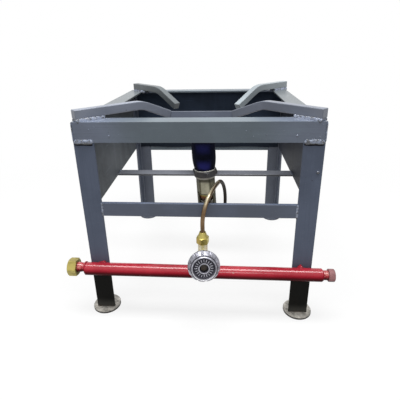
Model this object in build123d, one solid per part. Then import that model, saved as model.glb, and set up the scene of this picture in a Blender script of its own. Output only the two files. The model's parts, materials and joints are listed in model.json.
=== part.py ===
from build123d import *
import math
import os

# A square stand of welded angle iron that carries a single high-pressure wok burner.
# Lengths are in millimetres. X runs left to right, Y front to back and Z up from the floor.
# Pieces are built about the middle of the stand's footprint and moved to the model's origin at the end.

# Stand of angle iron
frame_width = 380.0
frame_depth = 380.0
frame_height = 349.0
angle_leg = 32.0
angle_thickness = 4.0
angle_root_radius = 3.0
angle_toe_radius = 1.5
foot_diameter = 49.0
foot_thickness = 4.0
foot_edge = 0.6
foot_inset_x = 15.0
foot_inset_y = 9.0

# Sheet skirts and the bars between the legs
left_skirt_bottoms = (186.5, 204.2)
right_skirt_bottoms = (190.0, 200.7)
skirt_thickness = 1.5
rear_skirt_bottom = 201.0
rear_skirt_wave = 0.8
rear_skirt_wave_turn = 107.0
rear_skirt_bay_count = 10
crossbar_bottom = 191.5
crossbar_height = 23.5
crossbar_thickness = 6.0
burner_bar_width = 25.0
burner_bar_thickness = 4.0
burner_bar_top = 198.0
bar_edge = 0.5

# Pan support arms of square bar, laid on seats on the rails along the diagonals.
# Each was bent and placed by hand: distances from its corner to its outer end, its bend and its inner
# end, and the slope of its inner part
arm_size = 14.0
arm_edge = 0.8
arm_bend_radius = 55.0
arm_starts = {"front_left": 6.0, "front_right": 5.5, "rear_right": -1.0, "rear_left": 19.0}
arm_bends = {"front_left": 125.0, "front_right": 115.0, "rear_right": 101.0, "rear_left": 118.5}
arm_ends = {"front_left": 185.0, "front_right": 185.0, "rear_right": 171.5, "rear_left": 186.0}
arm_slopes = {"front_left": 22.9, "front_right": 20.7, "rear_right": 28.0, "rear_left": 25.8}
arm_seat_thickness = 3.8
arm_seat_width = 11.0
arm_seat_length = 36.0
tie_height = 20.0
tie_thickness = 3.0
tie_top_drop = 8.0

# Burner, from the flame tube down to the gas inlet
burner_x = 2.3
burner_y = 2.0
burner_lean = 3.0
flame_tube_diameter = 49.8
flame_tube_foot_diameter = 43.0
flame_tube_swell_diameter = 47.9
flame_tube_swell_rise = 14.4
flame_tube_taper_rise = 48.0
flame_tube_wall = 3.2
flame_tube_length = 94.5
collar_flats = 48.0
collar_bottom = 193.0
collar_height = 12.5
collar_turn = 43.7
spigot_diameter = 29.8
spigot_height = 12.0
collar_washer_diameter = 43.0
collar_washer_thickness = 4.5
body_diameter = 40.4
body_flats = 36.6
body_turn = -3.6
body_length = 34.5
mixing_bore = 24.0
cage_length = 29.5
cage_wall = 2.2
air_window_height = 28.0
air_window_angle = 104.0
bell_length = 18.0
bell_root_diameter = 34.0
bell_mouth_diameter = 29.0
base_ring_diameter = 41.0
base_ring_thickness = 6.0
head_thickness = 12.0
head_depth = 6.0
head_port_diameter = 3.0
head_centre_port = 7.0
head_inner_ring_radius = 10.5
head_inner_port_count = 8
head_outer_ring_radius = 16.0
head_outer_port_count = 14
jet_flats = 14.0
jet_height = 10.0
jet_tip_length = 3.0
jet_tip_edge = 1.0
jet_thread_diameter = 9.8
jet_bore = 5.0
jet_orifice = 1.6
jet_orifice_length = 2.0
elbow_diameter = 18.0
elbow_chamfer = 2.0
elbow_drop = 13.5
elbow_below_axis = 9.0
elbow_arm_diameter = 15.0
elbow_arm_length = 10.5
flare_diameter = 12.0
flare_length = 4.5
gas_passage = 5.0

# Gas rail: pipe across the front of the legs
pipe_diameter = 22.0
pipe_wall = 3.2
pipe_height = 93.5
pipe_tilt = 0.3
pipe_overhang_left = 7.0
pipe_overhang_right = 16.0
pipe_end_chamfer = 1.5
gas_hole_diameter = 8.0
nipple_insert = 10.0
nipple_bore = 8.0
inlet_rise = 2.8
inlet_neck_diameter = 15.0
inlet_neck_length = 12.5
inlet_shoulder_diameter = 18.0
inlet_shoulder_gap = 0.4
inlet_root_diameter = 14.0
union_nut_flats = 27.0
union_nut_length = 15.0
union_nut_turn = 20.0
union_nut_wall = 3.5
union_nut_thread = 19.0
union_nut_chamber = 20.0
union_nut_chamber_length = 3.0
inlet_nose_diameter = 18.6
inlet_nose_length = 2.4
inlet_nose_chamfer = 1.2
outlet_nipple_diameter = 16.0
outlet_neck_length = 8.6
cap_diameter = 21.0
cap_chamfer = 1.0
cap_length = 10.5
cap_end_wall = 3.5
# Weld lumps that hold the pipe to the legs, one on each leg
pipe_weld_rise = 6.5
pipe_weld_foot_rise = 3.5
pipe_weld_gap = 4.0
pipe_weld_peak = 1.5
left_pipe_weld_inset = 24.4
left_pipe_weld_runs = (21.0, 7.5)
left_pipe_weld_radius = 5.6
right_pipe_weld_inset = 18.8
right_pipe_weld_runs = (8.0, 5.5)
right_pipe_weld_radius = 6.6

# Needle valve standing on the gas rail
valve_x = 7.5
valve_axis_rise = 13.0
valve_tilt = 11.0
valve_yaw = 5.3
socket_diameter = 24.0
socket_chamfer = 1.0
socket_rise = 18.5
stub_diameter = 16.0
stub_length = 7.5
valve_base_flats = 22.0
valve_base_height = 6.0
valve_barrel_diameter = 20.0
valve_barrel_rise = 20.0
valve_shoulder_rise = 2.0
outlet_stub_diameter = 16.2
outlet_stub_rise = 39.0
bonnet_diameter = 20.0
bonnet_end = 15.0
bonnet_thread_diameter = 17.0
bonnet_thread_end = 20.0
gland_nut_flats = 22.0
gland_nut_end = 27.0
packing_diameter = 12.8
packing_length = 4.0
spindle_diameter = 8.0
spindle_tail_diameter = 6.0
spindle_tail_play = 0.1
seat_diameter = 4.0
seat_start = -6.5
seat_end = -2.0
seat_gap = 0.15
needle_land = 0.5
needle_point_gap = 1.0
needle_point_radius = 0.6
valve_passage = 4.0
valve_passage_offset = 4.5

# Handwheel, measured along the spindle from the valve's upright axis
wheel_hub_back = 34.1
wheel_back = 36.0
wheel_diameter = 50.8
wheel_rim_width = 5.0
wheel_front_rim_diameter = 39.0
wheel_cone_end = 47.5
wheel_shelf = 1.6
wheel_front = 50.5
wheel_front_rim_wall = 2.2
wheel_face = 46.8
wheel_hub_diameter = 21.0
wheel_hub_ring_diameter = 18.5
wheel_hub_hole = 14.0
wheel_hub_floor = 41.0
wheel_hub_ring_front = 49.0
wheel_shell = 2.8
wheel_back_edge = 1.2
wheel_front_edge = 0.7
wheel_face_draft = 0.5
flute_count = 12
flute_turn = 5.6
flute_radius = 2.0
flute_depth = 1.7
flute_end_gap = 0.5
flute_run_out = 15.0
flute_lean = 3.0
mark_count = 20
mark_width = 1.2
mark_height = 1.0
mark_inner_gap = 0.9
mark_outer_gap = 2.6
mark_stagger = 1.1
wheel_nut_flats = 10.0
wheel_nut_height = 4.0

# Copper tube and the nuts at its ends
tube_diameter = 7.0
tube_wall = 0.9
valve_nut_flats = 18.6
valve_nut_turn = 18.8
valve_nut_hex = 11.0
valve_nut_shoulder = 1.5
valve_nut_cone = 9.0
valve_nut_mouth_wall = 1.6
burner_nut_flats = 17.0
burner_nut_length = 12.0
# Corners of the tube's route between its two nuts, chosen by eye: distance across from the valve,
# share of the way back from the gas pipe to the burner, and height above the crossbar
tube_corners = [
    (4.9, 0.0148, 2.0),
    (11.5, 0.0739, 15.0),
    (18.1, 0.1872, 18.5),
    (23.8, 0.3350, 14.0),
    (27.1, 0.4828, 5.0),
    (30.3, 0.6256, -8.0),
    (33.9, 0.7537, -25.0),
    (36.8, 0.8571, -46.5),
    (38.1, 0.9310, -70.0),
    (37.8, 0.9754, -94.0),
]
valve_corner_run = 39.5
inlet_corner_run = 16.0
corner_share = 0.45

# Clearances
screwed_clearance = 0.1
running_clearance = 0.075
weld_gap = 0.1

# Levels and places that follow from the sizes above
half_width = frame_width / 2
half_depth = frame_depth / 2
rear_left_leg_inset = angle_thickness + skirt_thickness
rail_bottom = frame_height - angle_leg
arm_bottom = frame_height + arm_seat_thickness
tie_top = frame_height - tie_top_drop
collar_top = collar_bottom + collar_height
flame_tube_top = collar_top + flame_tube_length
washer_bottom = collar_bottom - collar_washer_thickness
body_bottom = washer_bottom - body_length
bell_bottom = body_bottom - bell_length
cage_bottom = body_bottom - cage_length
base_ring_bottom = cage_bottom - base_ring_thickness
inlet_height = base_ring_bottom - elbow_drop
pipe_y = -half_depth - pipe_diameter / 2
pipe_left = -half_width - pipe_overhang_left
pipe_right = half_width + pipe_overhang_right
pipe_bore = pipe_diameter - 2 * pipe_wall
socket_top = pipe_height + socket_rise
valve_axis_height = socket_top + valve_axis_rise
valve_barrel_top = socket_top + valve_barrel_rise
outlet_stub_top = socket_top + outlet_stub_rise
valve_flare_top = outlet_stub_top + flare_length
union_nut_right = pipe_left - inlet_neck_length
union_nut_left = union_nut_right - union_nut_length
nose_right = union_nut_right - union_nut_wall - screwed_clearance
hex_corner_ratio = 2 / math.sqrt(3)
base_align = (Align.CENTER, Align.CENTER, Align.MIN)


def block(x_range, y_range, z_range):
    """Rectangular bar between two opposite corners."""
    spans = [x_range, y_range, z_range]
    sizes = [high - low for low, high in spans]
    middle = [(low + high) / 2 for low, high in spans]
    return Pos(*middle) * Box(*sizes)


def rod(diameter, start, end):
    """Round bar along the local Z axis."""
    return Pos(0, 0, start) * Cylinder(diameter / 2, end - start, align=base_align)


def hex_bar(across_flats, start, end):
    """Hexagonal bar along the local Z axis."""
    outline = RegularPolygon(across_flats / 2, 6, major_radius=False)
    return Pos(0, 0, start) * extrude(outline, end - start)


def turned(*corners):
    """Solid turned about the local Z axis from (radius, height) corners."""
    outline = Plane.XZ * Polyline(*corners, close=True)
    return revolve(make_face(outline), Axis.Z)


def hex_nut(across_flats, start, end):
    """Hexagonal nut blank whose corners are chamfered at 30 degrees at both ends."""
    flat = across_flats / 2
    corner = flat * hex_corner_ratio
    rise = (corner - flat) * math.tan(math.radians(30))
    barrel = turned((0, start), (flat, start), (corner, start + rise),
                    (corner, end - rise), (flat, end), (0, end))
    return hex_bar(across_flats, start, end) & barrel


def ease(solid, size):
    """Take the sharpness off every edge of a bar."""
    return chamfer(solid.edges(), size)


def nearest_vertex(face, x, y):
    return min(face.vertices(), key=lambda v: abs(v.X - x) + abs(v.Y - y))


def angle_section():
    """Angle iron with its outside corner at the origin and its flanges along +X and +Y."""
    leg, wall = angle_leg, angle_thickness
    face = make_face(Polyline((0, 0), (leg, 0), (leg, wall), (wall, wall), (wall, leg), (0, leg), close=True))
    face = fillet(nearest_vertex(face, wall, wall), angle_root_radius)
    face = fillet(nearest_vertex(face, leg, wall), angle_toe_radius)
    return fillet(nearest_vertex(face, wall, leg), angle_toe_radius)


def top_rail(length):
    """Rail along +X with its outside face at Y = 0, its top at Z = 0 and both ends mitred."""
    section_plane = Plane(origin=(0, 0, 0), x_dir=(0, 0, -1), z_dir=(1, 0, 0))
    bar = extrude(section_plane * angle_section(), length)
    mitre = Polyline((0, 0), (length, 0), (length - angle_leg, angle_leg), (angle_leg, angle_leg), close=True)
    return bar & Pos(0, 0, -angle_leg) * extrude(make_face(mitre), angle_leg)


def leg():
    """Leg with its outside corner at the origin, standing on its foot."""
    return Pos(0, 0, foot_thickness) * extrude(angle_section(), rail_bottom - foot_thickness)


def foot(place):
    """Round foot plate that reaches out in front of or behind the leg at its corner's place."""
    disc = chamfer(rod(foot_diameter, 0, foot_thickness).edges(), foot_edge)
    x = math.copysign(half_width - foot_inset_x, place.position.X)
    y = math.copysign(half_depth - foot_inset_y, place.position.Y)
    return Pos(x, y, 0) * disc


# The four corners in turn: place of the outside corner and the turn of its flanges
corner_places = {
    "front_left": Pos(-half_width, -half_depth, 0),
    "front_right": Pos(half_width, -half_depth, 0) * Rot(0, 0, 90),
    "rear_right": Pos(half_width, half_depth, 0) * Rot(0, 0, 180),
    "rear_left": Pos(-half_width, half_depth, 0) * Rot(0, 0, 270),
}
rails_from_corner = {
    "front_left": ("front_top_rail", frame_width),
    "front_right": ("right_top_rail", frame_depth),
    "rear_right": ("rear_top_rail", frame_width),
    "rear_left": ("left_top_rail", frame_depth),
}


def stand_nodes():
    """Rails, legs and feet, corner by corner."""
    found = {}
    for corner, place in corner_places.items():
        rail_name, rail_length = rails_from_corner[corner]
        found[rail_name] = place * Pos(0, 0, frame_height) * top_rail(rail_length)
        inset = Pos(rear_left_leg_inset if corner == "rear_left" else 0, 0, 0)
        found[f"{corner}_leg"] = inset * place * leg()
        found[f"{corner}_foot"] = inset * foot(place)
    return found


def rear_skirt(left, right, top):
    """Rear sheet, hand cut to a slightly wavy lower edge."""
    edge = []
    for step in range(rear_skirt_bay_count + 1):
        rise = rear_skirt_wave * math.sin(math.radians(step * rear_skirt_wave_turn))
        edge.append((left + (right - left) * step / rear_skirt_bay_count, rear_skirt_bottom + rise))
    outline = Spline(*edge) + Polyline(edge[-1], (right, top), (left, top), edge[0])
    sheet = extrude(Plane.XZ * make_face(outline), skirt_thickness)
    return Pos(0, half_depth - angle_thickness, 0) * sheet


def side_skirt(left_face, bottoms, reach, top):
    """Side sheet, whose lower edge rises from its front end to its rear end."""
    front, rear = bottoms
    outline = Polyline((-reach, front), (reach, rear), (reach, top), (-reach, top), close=True)
    return Pos(left_face, 0, 0) * extrude(Plane.YZ * make_face(outline), skirt_thickness)


def skirt_nodes():
    """Sheet skirts against the inside faces of the rails and legs."""
    inset = angle_thickness + angle_root_radius
    top = frame_height - inset
    inside = half_width - angle_thickness
    return {
        "left_skirt": side_skirt(-inside, left_skirt_bottoms, half_depth - inset, top),
        "right_skirt": side_skirt(inside - skirt_thickness, right_skirt_bottoms, half_depth - inset, top),
        "rear_skirt": rear_skirt(-half_width + rear_left_leg_inset + inset, half_width - inset, top),
    }


def crossbar(ends, faces):
    """Flat bar on edge between two legs, given the X of its ends and the Y of its faces."""
    bar = block(ends, faces, (crossbar_bottom, crossbar_bottom + crossbar_height))
    return chamfer(bar.edges().filter_by(Axis.X), bar_edge)


def burner_bar(side):
    """Flat bar from a side skirt to the burner's collar. side is -1 on the left and 1 on the right."""
    outer = side * (half_width - angle_thickness - skirt_thickness)
    inner = burner_x + side * collar_flats / 4
    sides = (burner_y - burner_bar_width / 2, burner_y + burner_bar_width / 2)
    levels = (burner_bar_top - burner_bar_thickness, burner_bar_top)
    bar = block((min(outer, inner), max(outer, inner)), sides, levels)
    bar = chamfer(bar.edges().filter_by(Axis.X), bar_edge)
    return bar - collar_place() * hex_bar(collar_flats, 0, collar_height)


def arm_drop(corner):
    """Height that an arm loses along its bottom edge from its bend to its inner end, and that edge's run."""
    slope = math.radians(arm_slopes[corner])
    run = arm_ends[corner] - arm_bends[corner] - arm_size * math.sin(slope)
    return run, run * math.tan(slope)


def arm_profile(corner):
    """Side of a support arm: distance from its corner along X, height above its seat along Y."""
    slope = math.radians(arm_slopes[corner])
    start, bend = arm_starts[corner], arm_bends[corner]
    run, drop = arm_drop(corner)
    upper_bend = bend + arm_size * math.tan(slope / 2)
    outline = Polyline((start, 0), (bend, 0), (bend + run, -drop),
                       (arm_ends[corner], -drop + arm_size * math.cos(slope)),
                       (upper_bend, arm_size), (start, arm_size), close=True)
    face = make_face(outline)
    face = fillet(nearest_vertex(face, bend, 0), arm_bend_radius)
    return fillet(nearest_vertex(face, upper_bend, arm_size), arm_bend_radius + arm_size)


def support_arm(corner):
    bar = extrude(Plane.XZ * arm_profile(corner), arm_size / 2, both=True)
    return arm_places()[corner] * ease(bar, arm_edge)


def arm_seat(corner):
    """Packing strip that lifts the outer part of an arm off the rails."""
    start = max(arm_starts[corner], arm_seat_width / 2) + arm_edge
    sides = (-arm_seat_width / 2, arm_seat_width / 2)
    seat = block((start, start + arm_seat_length), sides, (-arm_seat_thickness, 0))
    return arm_places()[corner] * seat


def arm_places():
    """Each arm starts at a corner of the rails and points at the middle of the stand."""
    heading = math.degrees(math.atan2(frame_depth, frame_width))
    return {
        "front_left": Pos(-half_width, -half_depth, arm_bottom) * Rot(0, 0, heading),
        "front_right": Pos(half_width, -half_depth, arm_bottom) * Rot(0, 0, 180 - heading),
        "rear_right": Pos(half_width, half_depth, arm_bottom) * Rot(0, 0, 180 + heading),
        "rear_left": Pos(-half_width, half_depth, arm_bottom) * Rot(0, 0, -heading),
    }


def arm_end_place(corner):
    """Place of an arm's square-cut inner end, with local Z running on along the bar."""
    run, drop = arm_drop(corner)
    return arm_places()[corner] * Pos(arm_bends[corner] + run, 0, -drop) * Rot(0, 90 + arm_slopes[corner], 0)


def arm_tie_strip():
    """Strip on edge between the inner ends of the two front arms, in line with their front corners."""
    diagonal = math.hypot(half_width, half_depth)
    inset = 1 - arm_ends["front_left"] / diagonal
    front = -half_depth * inset - arm_size / 2 * half_width / diagonal
    reach = half_width * inset + arm_size
    strip = block((-reach, reach), (front, front + tie_thickness), (tie_top - tie_height, tie_top))
    beyond = Pos(0, 0, -reach) * Box(2 * reach, 2 * reach, 2 * reach)
    for corner in ("front_left", "front_right"):
        strip -= arm_end_place(corner) * beyond
    return strip


def burner_place():
    """The burner's upright axis, which leans to the left about the underside of its collar."""
    return Pos(burner_x, burner_y, collar_bottom) * Rot(0, -burner_lean, 0) * Pos(0, 0, -collar_bottom)


def collar_place():
    return burner_place() * Pos(0, 0, collar_bottom) * Rot(0, 0, collar_turn)


def burner_collar():
    """Hexagonal collar: the flame tube stands on it and the body screws in from below."""
    nut = hex_nut(collar_flats, 0, collar_height)
    return collar_place() * (nut - rod(spigot_diameter + 2 * screwed_clearance, 0, collar_height))


def flame_tube_side(inset):
    """Curve up the tube's taper in the XZ plane, moved in from its outside by inset."""
    foot = Vector(flame_tube_foot_diameter / 2 - inset, 0, collar_top)
    swell = Vector(flame_tube_swell_diameter / 2 - inset, 0, collar_top + flame_tube_swell_rise)
    shoulder = Vector(flame_tube_diameter / 2 - inset, 0, collar_top + flame_tube_taper_rise)
    outward = swell - foot + Vector(0, 0, flame_tube_wall)
    return Spline(foot, swell, shoulder, tangents=[outward, Vector(0, 0, 1)])


def flame_tube():
    """Tube that widens upwards from its foot on the collar and runs straight above its taper."""
    outside, inside = flame_tube_side(0), flame_tube_side(flame_tube_wall)
    rise = Vector(0, 0, flame_tube_length - flame_tube_taper_rise)
    head = Polyline(outside @ 1, outside @ 1 + rise, inside @ 1 + rise, inside @ 1)
    foot_line = Line(outside @ 0, inside @ 0)
    face = make_face([*outside.edges(), *head.edges(), *inside.edges(), *foot_line.edges()])
    return burner_place() * revolve(face, Axis.Z)


def burner_head():
    """Flame head: a thick disc near the top of the flame tube with a centre port and rings of ports."""
    bore = flame_tube_diameter - 2 * flame_tube_wall
    top = flame_tube_top - head_depth
    disc = rod(bore - 2 * screwed_clearance, top - head_thickness, top)
    disc -= rod(head_centre_port, top - head_thickness, top)
    rings = ((head_inner_ring_radius, head_inner_port_count), (head_outer_ring_radius, head_outer_port_count))
    for radius, count in rings:
        for spot in PolarLocations(radius, count):
            disc -= spot * rod(head_port_diameter, top - head_thickness, top)
    return burner_place() * disc


def collar_washer():
    ring = rod(collar_washer_diameter, washer_bottom, collar_bottom)
    ring = chamfer(ring.edges(), bar_edge)
    hole = rod(spigot_diameter + 2 * screwed_clearance, washer_bottom, collar_bottom)
    return burner_place() * (ring - hole)


def burner_body():
    """Mixing body: six narrow spanner flats, a screwed spigot above and a cage with two air windows below."""
    barrel = rod(body_diameter, body_bottom, washer_bottom) & hex_bar(body_flats, body_bottom, washer_bottom)
    top = washer_bottom + spigot_height
    solid = barrel + rod(spigot_diameter, washer_bottom, top)
    solid -= rod(mixing_bore, body_bottom, top)
    cage = rod(body_diameter, cage_bottom, body_bottom)
    cage -= rod(body_diameter - 2 * cage_wall, cage_bottom, body_bottom)
    for heading in (0, 180):
        cage -= Rot(0, 0, heading) * air_window()
    return burner_place() * Rot(0, 0, body_turn) * (solid + cage)


def air_window():
    """Wedge that opens the front of the cage, seen from the burner's axis, up from the base ring."""
    half_angle = math.radians(air_window_angle / 2)
    wide, deep = body_diameter * math.sin(half_angle), body_diameter * math.cos(half_angle)
    wedge = make_face(Polyline((0, 0), (-wide, -deep), (wide, -deep), close=True))
    return Pos(0, 0, cage_bottom) * extrude(wedge, air_window_height)


def air_neck():
    """Bell under the mixing bore, inside the cage, where the jet draws in its air."""
    bell = turned((0, body_bottom), (bell_root_diameter / 2, body_bottom),
                  (bell_mouth_diameter / 2, bell_bottom), (0, bell_bottom))
    return burner_place() * (bell - rod(mixing_bore, bell_bottom, body_bottom))


def base_ring():
    ring = rod(base_ring_diameter, base_ring_bottom, cage_bottom)
    ring = chamfer(ring.edges(), bar_edge)
    hole = rod(jet_thread_diameter + 2 * screwed_clearance, base_ring_bottom, cage_bottom)
    return burner_place() * (ring - hole)


def gas_jet():
    """Jet screwed through the base ring: a hexagonal head with a fine orifice at its tip."""
    tip = cage_bottom + jet_height
    shoulder = tip - jet_tip_length
    solid = hex_nut(jet_flats, cage_bottom, shoulder)
    solid += turned((0, shoulder), (jet_flats / 2 - jet_tip_edge, shoulder), (jet_orifice, tip), (0, tip))
    solid += rod(jet_thread_diameter, base_ring_bottom, cage_bottom)
    solid -= rod(jet_bore, base_ring_bottom, tip - jet_orifice_length)
    solid -= rod(jet_orifice, tip - jet_orifice_length, tip)
    return burner_place() * solid


def inlet_elbow():
    """Elbow under the base ring that turns the gas from the tube up into the jet."""
    upright = rod(elbow_diameter, inlet_height - elbow_below_axis, base_ring_bottom)
    upright = chamfer(upright.edges().sort_by(Axis.Z)[0], elbow_chamfer)
    sideways = Pos(0, 0, inlet_height) * Rot(0, 90, 0)
    arm_end = elbow_arm_length + flare_length
    solid = upright + sideways * rod(elbow_arm_diameter, 0, elbow_arm_length)
    solid += sideways * rod(flare_diameter, 0, arm_end)
    solid -= rod(gas_passage, inlet_height, base_ring_bottom)
    solid -= sideways * rod(gas_passage, 0, arm_end)
    return burner_place() * solid


def burner_flare_nut():
    nut = hex_nut(burner_nut_flats, 0, burner_nut_length)
    nut -= rod(flare_diameter + 2 * screwed_clearance, 0, flare_length)
    nut -= rod(tube_diameter + 2 * screwed_clearance, 0, burner_nut_length)
    return burner_place() * Pos(elbow_arm_length, 0, inlet_height) * Rot(0, 90, 0) * nut


def tube_route():
    """Corners of the copper tube's centre line from the valve's flare to the burner's flare."""
    start = Vector(valve_x, pipe_y, valve_flare_top)
    first_corner = start + Vector(0, 0, valve_corner_run)
    arm_end = elbow_arm_length + flare_length
    end = (burner_place() * Pos(arm_end, 0, inlet_height)).position
    last_corner = (burner_place() * Pos(arm_end + inlet_corner_run, 0, inlet_height)).position
    crossbar_top = crossbar_bottom + crossbar_height
    bends = [Vector(valve_x + across, pipe_y + share * (burner_y - pipe_y), crossbar_top + rise)
             for across, share, rise in tube_corners]
    return [start, first_corner, *bends, last_corner, end]


def arc_radii(points):
    """Largest even arcs: each takes the corner's share of the shorter of its two runs."""
    radii = []
    for before, corner, after in zip(points, points[1:], points[2:]):
        run_in, run_out = corner - before, after - corner
        half_turn = math.radians(run_in.get_angle(run_out)) / 2
        radii.append(corner_share * min(run_in.length, run_out.length) / math.tan(half_turn))
    return radii


def copper_tube():
    points = tube_route()
    radii = arc_radii(points)
    path = FilletPolyline(*points, radius=radii)
    ring = Circle(tube_diameter / 2) - Circle(tube_diameter / 2 - tube_wall)
    tube = sweep(Plane(origin=path @ 0, z_dir=path % 0) * ring, path=path)
    ratio = tube.volume / (ring.area * path.length)
    print("copper tube radii", [round(radius, 1) for radius in radii])
    print("copper tube length", round(path.length, 1), "volume ratio", round(ratio, 4))
    return tube


def pipe_place(x):
    """A point of the gas rail's axis, with local Z along the pipe to the right."""
    return Pos(0, pipe_y, pipe_height) * Rot(0, pipe_tilt, 0) * Pos(x, 0, 0) * Rot(0, 90, 0)


def inlet_place(x):
    """As pipe_place, for the inlet nipple and its nut, which sit a little above the pipe's axis."""
    return pipe_place(x) * Pos(-inlet_rise, 0, 0)


def gas_pipe():
    """Gas rail with chamfered ends and a hole up into the valve's socket."""
    length = pipe_right - pipe_left
    pipe = chamfer(rod(pipe_diameter, 0, length).edges(), pipe_end_chamfer) - rod(pipe_bore, 0, length)
    pipe = pipe_place(pipe_left) * pipe
    return pipe - Pos(valve_x, pipe_y, pipe_height) * rod(gas_hole_diameter, 0, pipe_diameter)


def pipe_weld(x, runs, radius):
    """Weld lump in the groove above the pipe, against a leg's face: it peaks at x and runs out both ways."""
    left_run, right_run = runs
    height = pipe_height + pipe_weld_rise
    face = make_face(Polyline((-left_run, 0), (0, radius), (right_run, 0), close=True))
    face = fillet(nearest_vertex(face, 0, radius), pipe_weld_peak)
    lump = Pos(x, -half_depth - pipe_weld_gap, height) * revolve(face, Axis.X)
    span = (x - left_run, x + right_run)
    groove = block(span, (pipe_y, -half_depth), (pipe_height + pipe_weld_foot_rise, height + radius))
    return (lump & groove) - pipe_place(pipe_left) * rod(pipe_diameter, 0, pipe_right - pipe_left)


def valve_socket():
    """Socket standing on the gas rail, saddle-cut to the pipe."""
    socket = rod(socket_diameter, pipe_height, socket_top)
    socket = chamfer(socket.edges().sort_by(Axis.Z)[-1], socket_chamfer)
    socket -= rod(gas_hole_diameter, pipe_height, socket_top)
    socket -= rod(stub_diameter + 2 * screwed_clearance, socket_top - stub_length, socket_top)
    saddle = pipe_place(valve_x - socket_diameter) * rod(pipe_diameter + 2 * weld_gap, 0, 2 * socket_diameter)
    return Pos(valve_x, pipe_y, 0) * socket - saddle


def spindle_place():
    """The spindle's axis: local Z runs from the valve's upright axis out to the handwheel."""
    return Pos(valve_x, pipe_y, valve_axis_height) * Rot(0, 0, valve_yaw) * Rot(90 - valve_tilt, 0, 0)


def valve_body():
    """Upright body with a screwed stub below, a flared outlet above and a bonnet to the front."""
    base_top = socket_top + valve_base_height
    upright = rod(stub_diameter, socket_top - stub_length, socket_top)
    upright += hex_nut(valve_base_flats, socket_top, base_top)
    upright += rod(valve_barrel_diameter, base_top, valve_barrel_top)
    shoulder = valve_barrel_top + valve_shoulder_rise
    upright += turned((0, valve_barrel_top), (valve_barrel_diameter / 2, valve_barrel_top),
                      (outlet_stub_diameter / 2, shoulder), (0, shoulder))
    upright += rod(outlet_stub_diameter, valve_barrel_top, outlet_stub_top)
    upright += rod(flare_diameter, outlet_stub_top, valve_flare_top)
    inlet = Pos(0, valve_passage_offset, 0) * rod(valve_passage, socket_top - stub_length, valve_axis_height)
    outlet = rod(gas_passage, valve_axis_height, valve_flare_top)
    body = Pos(valve_x, pipe_y, 0) * upright
    bonnet = rod(bonnet_diameter, 0, bonnet_end) + rod(bonnet_thread_diameter, 0, bonnet_thread_end)
    body += spindle_place() * bonnet
    body -= Pos(valve_x, pipe_y, 0) * inlet
    body -= Pos(valve_x, pipe_y, 0) * outlet
    body -= spindle_place() * rod(seat_diameter, seat_start, seat_end)
    body -= spindle_place() * rod(spindle_diameter + 2 * running_clearance, seat_end, bonnet_thread_end)
    packing_start = bonnet_thread_end - packing_length
    packing_room = rod(packing_diameter + 2 * screwed_clearance, packing_start, bonnet_thread_end)
    return body - spindle_place() * packing_room


def valve_packing():
    start = bonnet_thread_end - packing_length
    ring = rod(packing_diameter, start, bonnet_thread_end)
    return spindle_place() * (ring - rod(spindle_diameter + 2 * running_clearance, start, bonnet_thread_end))


def gland_nut():
    nut = hex_nut(gland_nut_flats, bonnet_end, gland_nut_end)
    nut -= rod(bonnet_thread_diameter + 2 * screwed_clearance, bonnet_end, bonnet_thread_end)
    nut -= rod(spindle_diameter + 2 * running_clearance, bonnet_end, gland_nut_end)
    return spindle_place() * nut


def valve_spindle():
    """Spindle with a needle point at its inner end and a thinner tail through the handwheel."""
    shoulder = wheel_hub_back - spindle_tail_play
    needle_root = seat_end + needle_land
    needle_tip = seat_start + needle_point_gap
    needle_radius = seat_diameter / 2 - seat_gap
    tail_end = wheel_hub_floor + wheel_nut_height
    point = turned((0, needle_tip), (needle_point_radius, needle_tip), (needle_radius, seat_end),
                   (needle_radius, needle_root), (0, needle_root))
    shaft = rod(spindle_diameter, needle_root, shoulder)
    return spindle_place() * (point + shaft + rod(spindle_tail_diameter, shoulder, tail_end))


def wheel_profile():
    """Half section of the handwheel as (radius, distance) corners, hollow at the back."""
    rim = wheel_diameter / 2
    front_rim = wheel_front_rim_diameter / 2
    tail = spindle_tail_diameter / 2 + running_clearance
    cone_start = wheel_back + wheel_rim_width
    inner_face = wheel_face - wheel_shell
    edge = wheel_front_edge
    ring_foot = front_rim - wheel_front_rim_wall
    hub_ring = wheel_hub_ring_diameter / 2
    return [
        (tail, wheel_hub_back), (wheel_hub_diameter / 2, wheel_hub_back),
        (wheel_hub_diameter / 2, inner_face), (front_rim - wheel_shell, inner_face),
        (rim - wheel_shell, cone_start), (rim - wheel_shell, wheel_back),
        (rim - wheel_back_edge, wheel_back), (rim, wheel_back + wheel_back_edge), (rim, cone_start),
        (front_rim + wheel_shelf, wheel_cone_end), (front_rim, wheel_cone_end),
        (front_rim, wheel_front - edge), (front_rim - edge, wheel_front),
        (ring_foot + wheel_face_draft, wheel_front), (ring_foot, wheel_face),
        (hub_ring, wheel_face), (hub_ring - wheel_face_draft, wheel_hub_ring_front),
        (wheel_hub_hole / 2, wheel_hub_ring_front), (wheel_hub_hole / 2, wheel_hub_floor),
        (tail, wheel_hub_floor),
    ]


def flute_cutter():
    """Round cutter that lies along the wheel's cone and dips deeper into it towards the front rim."""
    rim = wheel_diameter / 2
    cone_start = wheel_back + wheel_rim_width
    cone_rise = wheel_cone_end - cone_start
    cone_fall = rim - wheel_front_rim_diameter / 2 - wheel_shelf
    lean = math.degrees(math.atan2(cone_fall, cone_rise)) + flute_lean
    cutter = rod(2 * flute_radius, -flute_run_out, math.hypot(cone_fall, cone_rise) - flute_end_gap)
    return Pos(rim, 0, cone_start) * Rot(0, -lean, 0) * Pos(flute_radius - flute_depth, 0, 0) * cutter


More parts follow.
